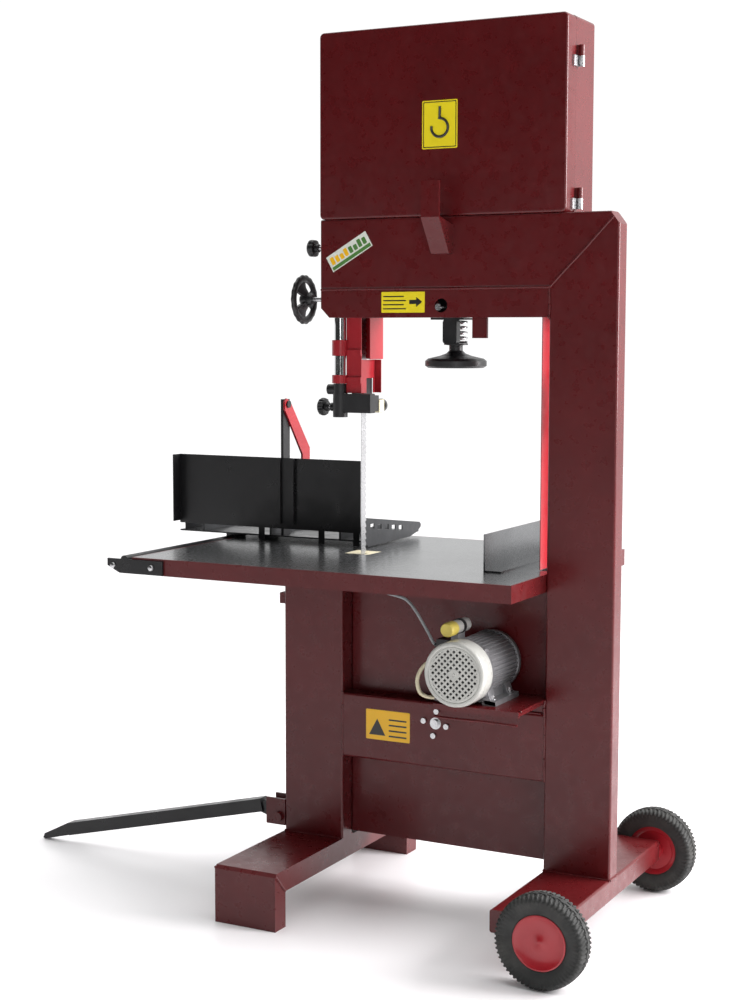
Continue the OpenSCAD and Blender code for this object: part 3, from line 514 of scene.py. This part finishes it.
def fan_grille(sizes):
    """Fan cover: a turned rim with a raised ring, and two crossed rows of flat bars clipped to a circle
    of radius R, each bar at offset d reaching sqrt(R^2 - d^2) either way."""
    low, high = span("fan_cover")
    x, z = (low[0] + high[0]) / 2, (low[2] + high[2]) / 2
    r, y = (high[0] - low[0]) / 2, low[1]
    cover = Surface()
    ring_in = r - 18
    profile = [(r, 50), (r, 7), (r - 1.5, 3), (r - 5, 0.5), (r - 8, 0), (r - 10.5, 0.6), (r - 12, 2.4),
               (r - 14, 1.4), (ring_in, 1.6), (ring_in, 3.2), (r - 9, 3.4), (r - 4, 6), (r - 2, 9), (r - 2, 50)]
    cover.turned(profile, (x, y, z), "y", 96, ring=True)
    for angle in (45, -45):
        run = np.array([math.cos(math.radians(angle)), math.sin(math.radians(angle))])
        across = np.array([-run[1], run[0]])
        count = int((ring_in + 2) / sizes.grille_pitch * MM)
        for k in range(-count, count + 1):
            d = k * sizes.grille_pitch / MM
            reach = math.sqrt(max((ring_in + 1.5) ** 2 - d ** 2, 1.0))
            half = sizes.grille_bar / MM / 2
            corners = [(-reach, d - half), (reach, d - half), (reach, d + half), (-reach, d + half)]
            outline = [run * u + across * v + (x, z) for u, v in corners]
            lift = 0.0 if angle > 0 else 0.5
            cover.prism(outline, y + 1.4 + lift, y + 3.0 + lift, "y")
    cover.turned([(0, 0.9), (13, 0.9), (14, 1.6), (14, 3.4), (0, 3.4)], (x, y, z), "y", 40, ring=True)
    cover.turned([(0, -0.6), (3, -0.4), (4, 0.9), (0, 0.9)], (x, y + 0.6, z), "y", 20, ring=True)
    cover.make("fan_grille", FINISHES["grille"], "frame", ["fan_cover"])
    dark = Surface()
    dark.turned([(0, 12), (r - 3, 12), (r - 3, 13), (0, 13)], (x, y, z), "y", 48, ring=True)
    for k in range(FAN_BLADES):
        a = TAU * k / FAN_BLADES
        corners = [(FAN_HUB, a), (FAN_TIP, a + 0.1), (FAN_TIP, a + 0.2), (FAN_HUB, a + 0.2)]
        dark.prism([(x + reach * math.cos(b), z + reach * math.sin(b)) for reach, b in corners], y + 8, y + 12, "y")
    dark.make("cooling_fan", FINISHES["black_plastic"], "motor_rotor")


def motor_ribs(sizes):
    """Cooling ribs: the body's section is r = r0 + h w(a), where w is a rounded square wave of the angle,
    carried straight along the motor; the end shields are turned."""
    low, high = span("fan_cover")
    x, z = (low[0] + high[0]) / 2, (low[2] + high[2]) / 2
    ribs = Surface()
    count, sides = sizes.motor_ribs, sizes.motor_ribs * 8

    def ribbed(a, r, h):
        wave = np.clip(3.2 * np.cos(count * a) - 0.4, -1, 1) * 0.5 + 0.5
        feet = np.clip((np.sin(a) + 0.93) / 0.1, 0, 1)
        return np.where(r > 60, r + 7.0 * wave * feet, r)

    ribs.turned([(66, -116), (66.5, -114), (66.5, 24), (66, 26)], (x, 0, z), "y", sides, ribbed)
    ribs.make("motor_ribs", FINISHES["motor_paint"], "frame")
    shields = Surface()
    shields.turned([(60, -141), (73, -141), (75.5, -138), (75.5, -122), (73.5, -117), (60, -116)],
                   (x, 0, z), "y", 96, ring=True)
    shields.turned([(24, 50.5), (60, 50.5), (71, 46), (75, 40), (75, 28), (72, 25), (24, 25)], (x, 0, z), "y", 96,
                   ring=True)
    for k in range(4):
        a = TAU * (k + 0.5) / 4
        cx, cz = x + 73 * math.cos(a), z + 73 * math.sin(a)
        shields.turned([(0, -139), (7, -139), (7, -118), (0, -118)], (cx, 0, cz), "y", 20, ring=True)
    for side in (-1, 1):
        foot = [(x + side * 38, 590), (x + side * 52, 566), (x + side * 80, 564.2), (x + side * 80, 574),
                (x + side * 66, 578), (x + side * 56, 606)]
        for y in (-125, -22):
            shields.prism(foot, y, y + 34, "y")
    shields.make("motor_shields", FINISHES["motor_paint"], "frame", bevel=1.0)


def capacitor_can():
    """The run capacitor: a turned can with a crimped yellow cap and a black strap."""
    low, high = span("capacitor")
    x, z = (low[0] + high[0]) / 2, (low[2] + high[2]) / 2
    r = (high[0] - low[0]) / 2
    can = Surface()
    can.turned([(0, -129), (r - 1.5, -129), (r - 1.2, -127), (r - 0.6, -60), (r - 3, -55.5), (0, -55.2)], (x, 0, z),
               "y", 48)
    can.make("capacitor_can", FINISHES["can_shell"], "frame", ["capacitor"])
    cap = Surface()
    cap.turned([(0, low[1]), (r - 3, low[1]), (r - 1, low[1] + 2), (r, low[1] + 6), (r, -130), (r - 2, -128),
                (0, -128)], (x, 0, z), "y", 48)
    cap.make("capacitor_cap", FINISHES["yellow_cap"], "frame")
    strap = Surface()
    strap.turned([(r - 1, -100), (r + 0.8, -100), (r + 0.8, -88), (r - 1, -88)], (x, 0, z), "y", 48, ring=True)
    strap.block((x - 6, -100, 712), (x + 6, -88, z - r + 1))
    strap.make("capacitor_strap", FINISHES["black_plastic"], "frame")


def treaded_tyre(name, node, body, sizes):
    """A solid tyre: r = R - d g(a, w), with square lugs across the shoulders that lean with |w| and a zigzag
    groove each side of the middle rib, where w runs from -1 to 1 across the width."""
    low, high = span(node)
    x, z, outer = (low[0] + high[0]) / 2, (low[2] + high[2]) / 2, (high[2] - low[2]) / 2
    y0, y1 = low[1], high[1]
    half, mid = (y1 - y0) / 2, (y0 + y1) / 2
    w = np.linspace(-1, 1, 37)
    crown = outer - 5.0 * np.abs(w) ** 3 - 6.0 * np.clip(np.abs(w) - 0.9, 0, 1) * 10
    lugs = sizes.tyre_lugs
    wall = [(66, y0 + 7), (80, y0 + 2.5), (94, y0 + 1.5)]
    tread = [(r, mid + half * u) for r, u in zip(crown, w)]
    back = [(94, y1 - 1.5), (80, y1 - 2.5), (66, y1 - 7), (62.5, y1 - 10), (62.5, y0 + 10)]
    profile = wall + tread + back

    def lug(a, r, h):
        u = (h - mid) / half
        lean = 2.2 * np.abs(u)
        across = np.clip(4 * np.cos(lugs * a + lean * 2) - 0.6, -1, 1) * 0.5 + 0.5
        shoulder = np.clip((np.abs(u) - 0.30) / 0.06, 0, 1)
        zigzag = np.abs(np.abs(u) - 0.26 - 0.05 * np.sign(np.sin(lugs * a / 2))) < 0.045
        cut = np.maximum((1 - across) * shoulder, zigzag * 1.0)
        return np.where(r > outer - 14, r - cut * sizes.tread_depth / MM, r)

    tyre = Surface()
    tyre.turned(profile, (x, 0, z), "y", lugs * 8, lug, ring=True)
    tyre.make(name, FINISHES["tyre_rubber"], body, [node], angle=50)


def dished_disc(name, node, body, outer_side):
    """The wheel disc: a profile that dips to a shallow dish and rises to a small hub cap, turned about the axle."""
    low, high = span(node)
    x, z = (low[0] + high[0]) / 2, (low[2] + high[2]) / 2
    y = low[1] if outer_side < 0 else high[1]
    s = -outer_side
    front = [(0, 10), (3.5, 10), (6, 10.6), (9, 12.5), (30, 14), (48, 12), (56, 8.5), (60, 6.5), (63.2, 7)]
    back = [(63.2, 52), (58, 50), (50, 44), (26, 42), (20, 54), (17, 58), (0, 58)]
    disc = Surface()
    disc.turned([(r, y + s * h) for r, h in front + back], (x, 0, z), "y", 72)
    disc.make(name, FINISHES["bright_paint"], body, angle=30)


def toothed_blade(sizes):
    """The blade loop: two straight runs and two half circles, with saw teeth on the far edge given by a ramp of the
    length s along the loop, t = s / pitch mod 1."""
    wheel, lower = middle("upper_wheel"), middle("lower_wheel")
    top, bottom = ((wheel - DATUM) / MM)[2], ((lower - DATUM) / MM)[2]
    low, high = span("blade")
    inner = (high[0] - low[0]) / 2 - 1.0
    y0, y1 = low[1], high[1]
    straight, half = top - bottom, math.pi * (inner + 0.5)
    total = 2 * (straight + half)
    teeth = int(total / (sizes.tooth_pitch / MM))
    s = (np.arange(teeth * 5) + 0.02) * total / (teeth * 5)
    t = (s * teeth / total) % 1.0
    legs = [s < straight, s < straight + half, s < 2 * straight + half]
    a_top = (s - straight) / half * math.pi
    a_low = (s - 2 * straight - half) / half * math.pi
    cx = np.select(legs, [-np.ones_like(s), -np.cos(a_top), np.ones_like(s)], np.cos(a_low))
    cz = np.select(legs, [np.zeros_like(s), np.sin(a_top), np.zeros_like(s)], -np.sin(a_low))
    lift = np.select(legs, [bottom + s, np.full_like(s, top), top - (s - straight - half)], bottom)
    edge = y1 - sizes.tooth_depth / MM * np.clip(1.25 * t, 0, 1)
    rows = []
    for r, y in ((inner, y0 + 0 * s), (inner + 1, y0 + 0 * s), (inner + 1, edge), (inner, edge)):
        rows.append(np.stack([r * cx, y, lift + r * cz], axis=-1))
    blade = Surface()
    blade.grid(np.stack(rows, axis=1), wrap_u=True, wrap_v=True)
    blade.make("saw_blade", FINISHES["bright_steel"], "frame", ["blade"], angle=20)


def coil_spring():
    """Compression spring: a helix of N turns with closed ends, (R cos a, R sin a, h(a))."""
    low, high = span("tension_spring")
    x, y = (low[0] + high[0]) / 2, (low[1] + high[1]) / 2
    wire, turns = 2.9, 4.6
    a = np.linspace(0, TAU * turns, 340)
    u = a / a[-1]
    ease = np.clip((u - 0.06) / 0.88, 0, 1)
    h = low[2] + wire + (high[2] - low[2] - 2 * wire) * ease
    r = (high[0] - low[0]) / 2 - wire
    spring = Surface()
    spring.tube(np.stack([x + r * np.cos(a), y + r * np.sin(a), h], axis=-1), wire, 12)
    spring.make("coil_spring", FINISHES["bright_steel"], "frame", ["tension_spring"])


LEAD_ROUTE = [(22, -30, 680), (16, -30, 680), (9, -30, 684), (2, -30, 694), (-6, -30, 708), (-19, -30, 728),
              (-36, -30, 753), (-52, -30, 773), (-72, -30, 788), (-97, -30, 794), (-122, -30, 799),
              (-140, -30, 810), (-146, -30, 825)]
LOOP_ROUTE = [(30, -50, 648), (24, -50, 648), (14, -54, 644), (2, -58, 636), (-10, -60, 622), (-19, -60, 604),
              (-21, -60, 586), (-15, -58, 564), (-4, -50, 554), (8, -36, 549), (18, -20, 548), (24, -6, 548),
              (26, 6, 546), (27, 14, 540), (27, 17, 529.5)]


def motor_leads():
    """The motor lead and the short pale loop: round sections along smooth curves, with tapered glands."""
    lead = Surface()
    lead.tube(smooth_path(LEAD_ROUTE), 3.75, 16, up=(0.1, 1, 0.1))
    lead.make("motor_lead", FINISHES["cable_sheath"], "frame", ["cables"])
    loop = Surface()
    loop.tube(smooth_path(LOOP_ROUTE), 5.0, 16, up=(0.3, 0.2, 0.1))
    loop.make("pale_lead", FINISHES["insert_plastic"], "frame")
    gland = Surface()
    gland.turned([(3.6, 12), (4.4, 12), (6, 22), (9, 23), (9, 30), (0, 30), (0, 24)], (0, -30, 680), "x", 24)
    gland.make("lead_gland", FINISHES["black_plastic"], "frame")


WEB_HALF = 0.56         # half the angle of one web, in radians
WEB_STEPS = 12
WEB_SECTION = ((13, 2), (30, -3), (46, -4), (46, 2), (30, 5), (13, 16))     # radius and lift round its section


def spoked_handwheel():
    """Guide handwheel: a broad moulded rim with finger waves outside, R + w cos(n a), three broad webs, a hub."""
    low, high = span("guide_handwheel")
    y, z = (low[1] + high[1]) / 2, (low[2] + high[2]) / 2
    x = low[0] + 7
    wheel = Surface()
    b = np.linspace(0, TAU, 24, endpoint=False)
    rim = np.stack([53.0 + 9.6 * np.cos(b), x + 6.4 * np.sin(b)], axis=-1)

    def fingers(a, r, h):
        return r + 0.9 * np.cos(18 * a) * np.clip((r - 56) / 5, 0, 1)

    wheel.turned(rim, (0, y, z), "x", 144, fingers, ring=True)
    for k in range(3):
        b = TAU * k / 3 + np.linspace(-WEB_HALF, WEB_HALF, WEB_STEPS)
        rows = [np.stack([np.full(WEB_STEPS, x + lift), y + r * np.cos(b), z + r * np.sin(b)], axis=-1)
                for r, lift in WEB_SECTION]
        wheel.grid(np.stack(rows), wrap_u=True)
        first = wheel.count - WEB_STEPS * len(WEB_SECTION)
        for side in (0, WEB_STEPS - 1):
            wheel.loops.append([first + WEB_STEPS * i + side for i in range(len(WEB_SECTION))])
    wheel.turned([(0, -8), (12, -8), (15, -4), (15, 8), (17, 18), (13, 26), (0, 26)], (x, y, z), "x", 32)
    wheel.make("guide_wheel_rim", FINISHES["black_plastic"], "guide_handwheel",
               ["guide_handwheel"], angle=50)
    shaft = Surface()
    shaft.turned([(0, -376), (6, -376), (6, -289), (0, -289)], (0, y, z), "x", 24)
    teeth = 12

    def gear(a, r, h):
        wave = np.clip(2.6 * np.cos(teeth * a), -1, 1)
        return np.where(r > 10, 13.6 + 2.2 * wave, r)

    shaft.turned([(0, -319), (13, -319), (13, -303), (0, -303)], (0, y, z), "x", 192, gear)
    shaft.make("guide_pinion_shaft", FINISHES["bright_steel"], "guide_handwheel")


def guide_pad():
    """The ivory thrust pad at the guide head's right end, rounded over the head's own block."""
    pad = Surface()
    pad.block((-238.6, 119.4, 1239.4), (-221.4, 146.6, 1272.6))
    pad.make("guide_pad", FINISHES["insert_plastic"], "guide", bevel=1.2)


def lobed_knob(name, node, body, axis_x, radius, height, lobes):
    """A grip knob on the X axis: r = R (1 - k (1 - |cos(n a / 2)|)) with a domed face, on a collar and stud."""
    low, high = span(node)
    y, z = (low[1] + high[1]) / 2, (low[2] + high[2]) / 2

    def grip(a, r, h):
        return np.where(r > 0.8 * radius, r * (0.90 + 0.10 * np.abs(np.cos(lobes * a / 2))), r)

    knob = Surface()
    x = axis_x
    knob.turned([(0, x - 1.5), (radius * 0.45, x - 1.2), (radius * 0.8, x), (radius * 0.96, x + 3), (radius, x + 7),
                 (radius, x + height - 5), (radius * 0.94, x + height - 1), (radius * 0.5, x + height),
                 (radius * 0.46, x + height + 9), (0, x + height + 9)], (0, y, z), "x", lobes * 16, grip)
    knob.make(name, FINISHES["black_plastic"], body, [node], angle=50)
    stud = Surface()
    stud.turned([(0, x + height), (5.9, x + height), (5.9, high[0] - 1), (5, high[0]), (0, high[0])],
                (0, y, z), "x", 24)
    stud.make(name + "_stud", FINISHES["bright_steel"], body)


def bolts():
    """Bolts and axle ends: six-sided heads on washers where the CAD has its fasteners."""
    motor = span("fan_cover")
    mx = (motor[0][0] + motor[1][0]) / 2
    set_of = Surface()
    for dx in (-62.5, 62.5):
        for y in (-105, -5):
            set_of.hexagon((mx + dx, y, 0), "z", 13, 576, 585, 10)
            set_of.rod((mx + dx, y, 548), (mx + dx, y, 588), 4.4, 20)
    plate = span("rod_bracket")
    for x in (-820, -701.5):
        for y, out in ((plate[0][1], -1), (plate[1][1], 1)):
            dome = [(0, 0.2), (8.2, 0.2), (8.2, 1.8), (6.8, 4.4), (4, 5.6), (0, 6)]
            set_of.turned([(r, y + out * h) for r, h in dome], (x, 0, 845.5), "y", 28)
    wheel = span("front_wheel")
    wx, wz = (wheel[0][0] + wheel[1][0]) / 2, (wheel[0][2] + wheel[1][2]) / 2
    rear = span("rear_wheel")
    beam = span("right_beam")
    for a, b in ((wheel[1][1] + 0.5, beam[0][1]), (beam[1][1], rear[0][1] - 0.5)):
        set_of.turned([(0, a), (14, a), (14, b), (0, b)], (wx, 0, wz), "y", 32)
    set_of.rod((wx, wheel[0][1] + 14, wz), (wx, rear[1][1] - 14, wz), 9.9, 32)
    set_of.make("bolts", FINISHES["bright_steel"], "frame", ["fasteners"], bevel=0.5)


FILM_FACE = -0.5        # a film label's face, over the painted face at Y 0
SIGN_FACE = -0.8        # the face of what is printed on it
BOLD_FACE = -0.9        # the face of its arrow and triangle


def label_plate(name, finish, outline):
    """A film label: a flat outline a fraction of a millimetre proud of the face at Y 0."""
    film = Surface()
    film.prism(outline, FILM_FACE, 0, "y")
    film.make(name, FINISHES[finish], "frame")


def turned_points(points, centre, degrees):
    """Outline points turned in their plane about a centre."""
    a = math.radians(degrees)
    turn = np.array([[math.cos(a), math.sin(a)], [-math.sin(a), math.cos(a)]])
    return (np.asarray(points, float) - centre) @ turn + centre


def labels():
    """Film labels with plain signs: a hook, an arrow, a triangle and blank lines, with no lettering."""
    label_plate("hook_label", "yellow_film", round_rect((-44, 1886), (50, 2001), 3))
    hook = Surface()
    frame_in, frame_out = round_rect((-39, 1891), (45, 1996), 2), round_rect((-41, 1889), (47, 1998), 2)
    hook.grid(np.stack([np.stack([p[:, 0], np.full(len(p), y), p[:, 1]], axis=-1)
                        for p, y in ((frame_in, FILM_FACE), (frame_in, SIGN_FACE),
                                     (frame_out, SIGN_FACE), (frame_out, FILM_FACE))]),
              wrap_u=True, wrap_v=True)
    curl = np.vstack([[(3, 1986), (3, 1962)], arc((3, 1936), 22, 95, -190, 26)])
    hook.tube(np.stack([curl[:, 0], np.full(len(curl), -0.6), curl[:, 1]], axis=-1), 3.4, 8, up=(0, 1, 0))
    hook.make("hook_sign", FINISHES["black_film"], "frame")
    label_plate("arrow_label", "yellow_film", round_rect((-154, 1493), (-35, 1544), 2))
    arrow = [(-77, 1514), (-58, 1514), (-58, 1507), (-42, 1519), (-58, 1531), (-58, 1524), (-77, 1524)]
    lines = Surface()
    lines.prism(arrow, BOLD_FACE, FILM_FACE, "y")
    for k in range(4):
        lines.prism(round_rect((-149, 1501 + 10 * k), (-86 - 6 * (k % 2), 1504 + 10 * k), 1),
                    SIGN_FACE, FILM_FACE, "y")
    lines.make("arrow_sign", FINISHES["black_film"], "frame")
    label_plate("warning_label", "amber_film", round_rect((-195, 416), (-71, 493), 3))
    sign = Surface()
    sign.prism([(-186, 428), (-140, 428), (-163, 470)], BOLD_FACE, FILM_FACE, "y")
    for k in range(4):
        sign.prism(round_rect((-130, 426 + 14 * k), (-80, 430 + 14 * k), 1), SIGN_FACE, FILM_FACE, "y")
    sign.make("warning_sign", FINISHES["black_film"], "frame")
    middle_of = np.array([-244.0, 1645.0])
    tilt = 30
    label_plate("square_sticker", "white_film",
                turned_points(round_rect((-309, 1624), (-181, 1666), 1), middle_of, tilt))
    for name, finish, first in (("sticker_left", "amber_film", 0), ("sticker_right", "green_film", 4)):
        mark = Surface()
        for k in range(first, first + 4):
            left = -302 + 14.5 * k
            mark.prism(turned_points(round_rect((left, 1639), (left + 10.5, 1659 - 3 * (k % 3)), 2), middle_of, tilt),
                       SIGN_FACE, FILM_FACE, "y")
        mark.make(name, FINISHES[finish], "frame")
    band = Surface()
    band.prism(turned_points(round_rect((-306, 1626.5), (-184, 1635), 1), middle_of, tilt), SIGN_FACE, FILM_FACE, "y")
    band.make("sticker_band", FINISHES["green_film"], "frame")


# ---------------------------------------------------------------- stage
CAMERA_PLACE = (1814.5, -3781.9, 1440)      # millimetres from the working datum


def aim(position_mm, yaw, pitch, roll, lens):
    """A camera at a place from the datum, turned yaw to the left of +Y, pitch down and roll."""
    data = bpy.data.cameras.new("Camera")
    data.lens = lens
    data.sensor_width = 36
    data.clip_end = 100
    camera = bpy.data.objects.new("Camera", data)
    bpy.context.scene.collection.objects.link(camera)
    camera.location = np.asarray(position_mm, float) * MM + DATUM
    turn = Euler((math.radians(90 - pitch), 0, math.radians(yaw)), "XYZ").to_matrix()
    spin = Euler((0, 0, math.radians(roll)), "XYZ").to_matrix()
    camera.rotation_euler = (turn @ spin).to_euler()
    bpy.context.scene.camera = camera


def soft_light(name, place, target, size, power, colour=(1, 1, 1)):
    """A square soft box aimed at a point."""
    data = bpy.data.lights.new(name, "AREA")
    data.size = size
    data.energy = power
    data.color = colour
    lamp = bpy.data.objects.new(name, data)
    bpy.context.scene.collection.objects.link(lamp)
    lamp.location = place
    way = np.asarray(target, float) - np.asarray(place, float)
    lean = math.atan2(math.hypot(way[0], way[1]), -way[2])
    lamp.rotation_euler = (lean, 0, math.atan2(way[1], way[0]) - math.pi / 2)


def overhead_sky():
    """An even, very soft light from above, leaning a little to the right and back."""
    data = bpy.data.lights.new("Sky", "SUN")
    data.energy = 2.4
    data.angle = math.radians(80)
    lamp = bpy.data.objects.new("Sky", data)
    bpy.context.scene.collection.objects.link(lamp)
    lamp.rotation_euler = (math.radians(-12), math.radians(10), 0)


def studio_world(tree):
    """White far walls and dark near walls: brightness rises with the y part of the direction."""
    way = tree.nodes.new("ShaderNodeTexCoord")
    part = tree.nodes.new("ShaderNodeSeparateXYZ")
    fade = tree.nodes.new("ShaderNodeMapRange")
    fade.interpolation_type = "SMOOTHSTEP"
    for key, number in (("From Min", -0.45), ("From Max", 0.15), ("To Min", 0.03), ("To Max", 1.05)):
        fade.inputs[key].default_value = number
    tree.links.new(way.outputs["Generated"], part.inputs["Vector"])
    tree.links.new(part.outputs["Y"], fade.inputs["Value"])
    backdrop = tree.nodes["Background"]
    backdrop.inputs["Color"].default_value = (1, 1, 1, 1)
    tree.links.new(fade.outputs["Result"], backdrop.inputs["Strength"])


# ---------------------------------------------------------------- settings
class SawColours(bpy.types.PropertyGroup):
    frame_paint: bpy.props.FloatVectorProperty(
        name="Frame paint", description="Colour of the frame and housings", subtype="COLOR", size=3,
        default=(0.100, 0.0075, 0.0090), min=0, max=1)
    guard_paint: bpy.props.FloatVectorProperty(
        name="Guard paint", description="Colour of the guards, clamp arm and wheel discs", subtype="COLOR", size=3,
        default=(0.36, 0.012, 0.020), min=0, max=1)


class SawSizes(bpy.types.PropertyGroup):
    weld_bead: bpy.props.FloatProperty(
        name="Weld bead", description="Radius of the weld beads", default=0.0032, unit="LENGTH")
    grille_pitch: bpy.props.FloatProperty(
        name="Grille pitch", description="Distance between the bars of the fan grille", default=0.0110, unit="LENGTH")
    grille_bar: bpy.props.FloatProperty(
        name="Grille bar", description="Width of a bar of the fan grille", default=0.0050, unit="LENGTH")
    motor_ribs: bpy.props.IntProperty(
        name="Motor ribs", description="Cooling ribs round the motor", default=44, min=12, max=80)
    tyre_lugs: bpy.props.IntProperty(
        name="Tyre lugs", description="Lugs round each transport tyre", default=60, min=20, max=90)
    tread_depth: bpy.props.FloatProperty(
        name="Tread depth", description="Depth of the tyre tread", default=0.0038, unit="LENGTH")
    tooth_pitch: bpy.props.FloatProperty(
        name="Tooth pitch", description="Distance between the blade's teeth", default=0.016, unit="LENGTH")
    tooth_depth: bpy.props.FloatProperty(
        name="Tooth depth", description="Depth of the blade's gullets", default=0.006, unit="LENGTH")


class SAW_OT_finishes(bpy.types.Operator):
    """Make the finishes and give them to the CAD nodes"""
    bl_idname = "saw.finishes"
    bl_label = "Finishes"

    def execute(self, context):
        make_finishes(context.scene.saw_colours)
        dress_nodes()
        return {"FINISHED"}


class SAW_OT_welds(bpy.types.Operator):
    """Run the weld beads along the frame's seams"""
    bl_idname = "saw.welds"
    bl_label = "Weld beads"

    def execute(self, context):
        weld_beads(context.scene.saw_sizes)
        return {"FINISHED"}


class SAW_OT_housings(bpy.types.Operator):
    """Press the upper box's back shell"""
    bl_idname = "saw.housings"
    bl_label = "Housings"

    def execute(self, context):
        upper_back_shell()
        return {"FINISHED"}


class SAW_OT_motor(bpy.types.Operator):
    """Build the motor's ribs, shields, fan grille, capacitor and leads"""
    bl_idname = "saw.motor"
    bl_label = "Motor"

    def execute(self, context):
        fan_grille(context.scene.saw_sizes)
        motor_ribs(context.scene.saw_sizes)
        capacitor_can()
        motor_leads()
        return {"FINISHED"}


class SAW_OT_running_gear(bpy.types.Operator):
    """Build the transport wheels"""
    bl_idname = "saw.running_gear"
    bl_label = "Running gear"

    def execute(self, context):
        for place, side in (("front", -1), ("rear", 1)):
            node = place + "_wheel"
            treaded_tyre(place + "_tyre", node, node, context.scene.saw_sizes)
            dished_disc(place + "_disc", node, node, side)
        return {"FINISHED"}


class SAW_OT_blade(bpy.types.Operator):
    """Cut the blade's teeth and wind the tension spring"""
    bl_idname = "saw.blade"
    bl_label = "Blade and spring"

    def execute(self, context):
        toothed_blade(context.scene.saw_sizes)
        coil_spring()
        return {"FINISHED"}


class SAW_OT_controls(bpy.types.Operator):
    """Build the handwheel, the guide pad and the grip knobs"""
    bl_idname = "saw.controls"
    bl_label = "Controls"

    def execute(self, context):
        spoked_handwheel()
        lobed_knob("lock_knob", "guide_lock", "guide_lock", -400, 23, 18, 6)
        guide_pad()
        lobed_knob("guide_grip", "guide_knob", "guide_knob", -379, 23, 18, 12)
        return {"FINISHED"}


class SAW_OT_small_parts(bpy.types.Operator):
    """Fit the bolts and the film labels"""
    bl_idname = "saw.small_parts"
    bl_label = "Bolts and labels"

    def execute(self, context):
        bolts()
        labels()
        return {"FINISHED"}


class SAW_OT_stage(bpy.types.Operator):
    """Lay the floor and set the lights and the camera"""
    bl_idname = "saw.stage"
    bl_label = "Stage"

    def execute(self, context):
        floor_mesh = bpy.data.meshes.new("Floor")
        reach = 14.0
        floor_mesh.from_pydata([(-reach, -reach, 0), (reach, -reach, 0), (reach, reach, 0), (-reach, reach, 0)],
                               [], [(0, 1, 2, 3)])
        floor = bpy.data.objects.new("Floor", floor_mesh)
        context.scene.collection.objects.link(floor)
        pale = Finish("Pale floor", (0.88, 0.87, 0.88), 0.35)
        floor_mesh.materials.append(pale.material)
        world = bpy.data.worlds.new("Studio")
        context.scene.world = world
        world.use_nodes = True
        studio_world(world.node_tree)
        soft_light("Key", (4.4, 1.4, 2.4), (0.2, 0, 1.1), 2.6, 420, (1.0, 0.97, 0.98))
        soft_light("Fill", (3.0, -5.0, 2.4), (0, 0, 1.0), 2.0, 45)
        overhead_sky()
        context.scene.view_settings.view_transform = "Standard"
        aim(CAMERA_PLACE, yaw=27.70, pitch=5.53, roll=0.12, lens=61.63)
        return {"FINISHED"}


class SAW_PT_panel(bpy.types.Panel):
    """Sizes, colours and steps of the band saw's dressing"""
    bl_idname = "SAW_PT_panel"
    bl_label = "Band saw"
    bl_space_type = "VIEW_3D"
    bl_region_type = "UI"
    bl_category = "Band saw"

    def draw(self, context):
        for group in (context.scene.saw_colours, context.scene.saw_sizes):
            for name in group.bl_rna.properties.keys():
                if name not in {"rna_type", "name"}:
                    self.layout.prop(group, name)
        for step in STEPS:
            self.layout.operator(step.bl_idname)


STEPS = (SAW_OT_finishes, SAW_OT_welds, SAW_OT_housings, SAW_OT_motor, SAW_OT_running_gear, SAW_OT_blade,
         SAW_OT_controls, SAW_OT_small_parts, SAW_OT_stage)
CLASSES = (SawColours, SawSizes) + STEPS + (SAW_PT_panel,)


def register():
    for each in CLASSES:
        bpy.utils.register_class(each)
    bpy.types.Scene.saw_colours = bpy.props.PointerProperty(type=SawColours)
    bpy.types.Scene.saw_sizes = bpy.props.PointerProperty(type=SawSizes)


def unregister():
    del bpy.types.Scene.saw_sizes
    del bpy.types.Scene.saw_colours
    for each in reversed(CLASSES):
        bpy.utils.unregister_class(each)


def main():
    register()
    bpy.ops.saw.finishes()
    bpy.ops.saw.welds()
    bpy.ops.saw.housings()
    bpy.ops.saw.motor()
    bpy.ops.saw.running_gear()
    bpy.ops.saw.blade()
    bpy.ops.saw.controls()
    bpy.ops.saw.small_parts()
    bpy.ops.saw.stage()


if __name__ == "__main__":
    main()
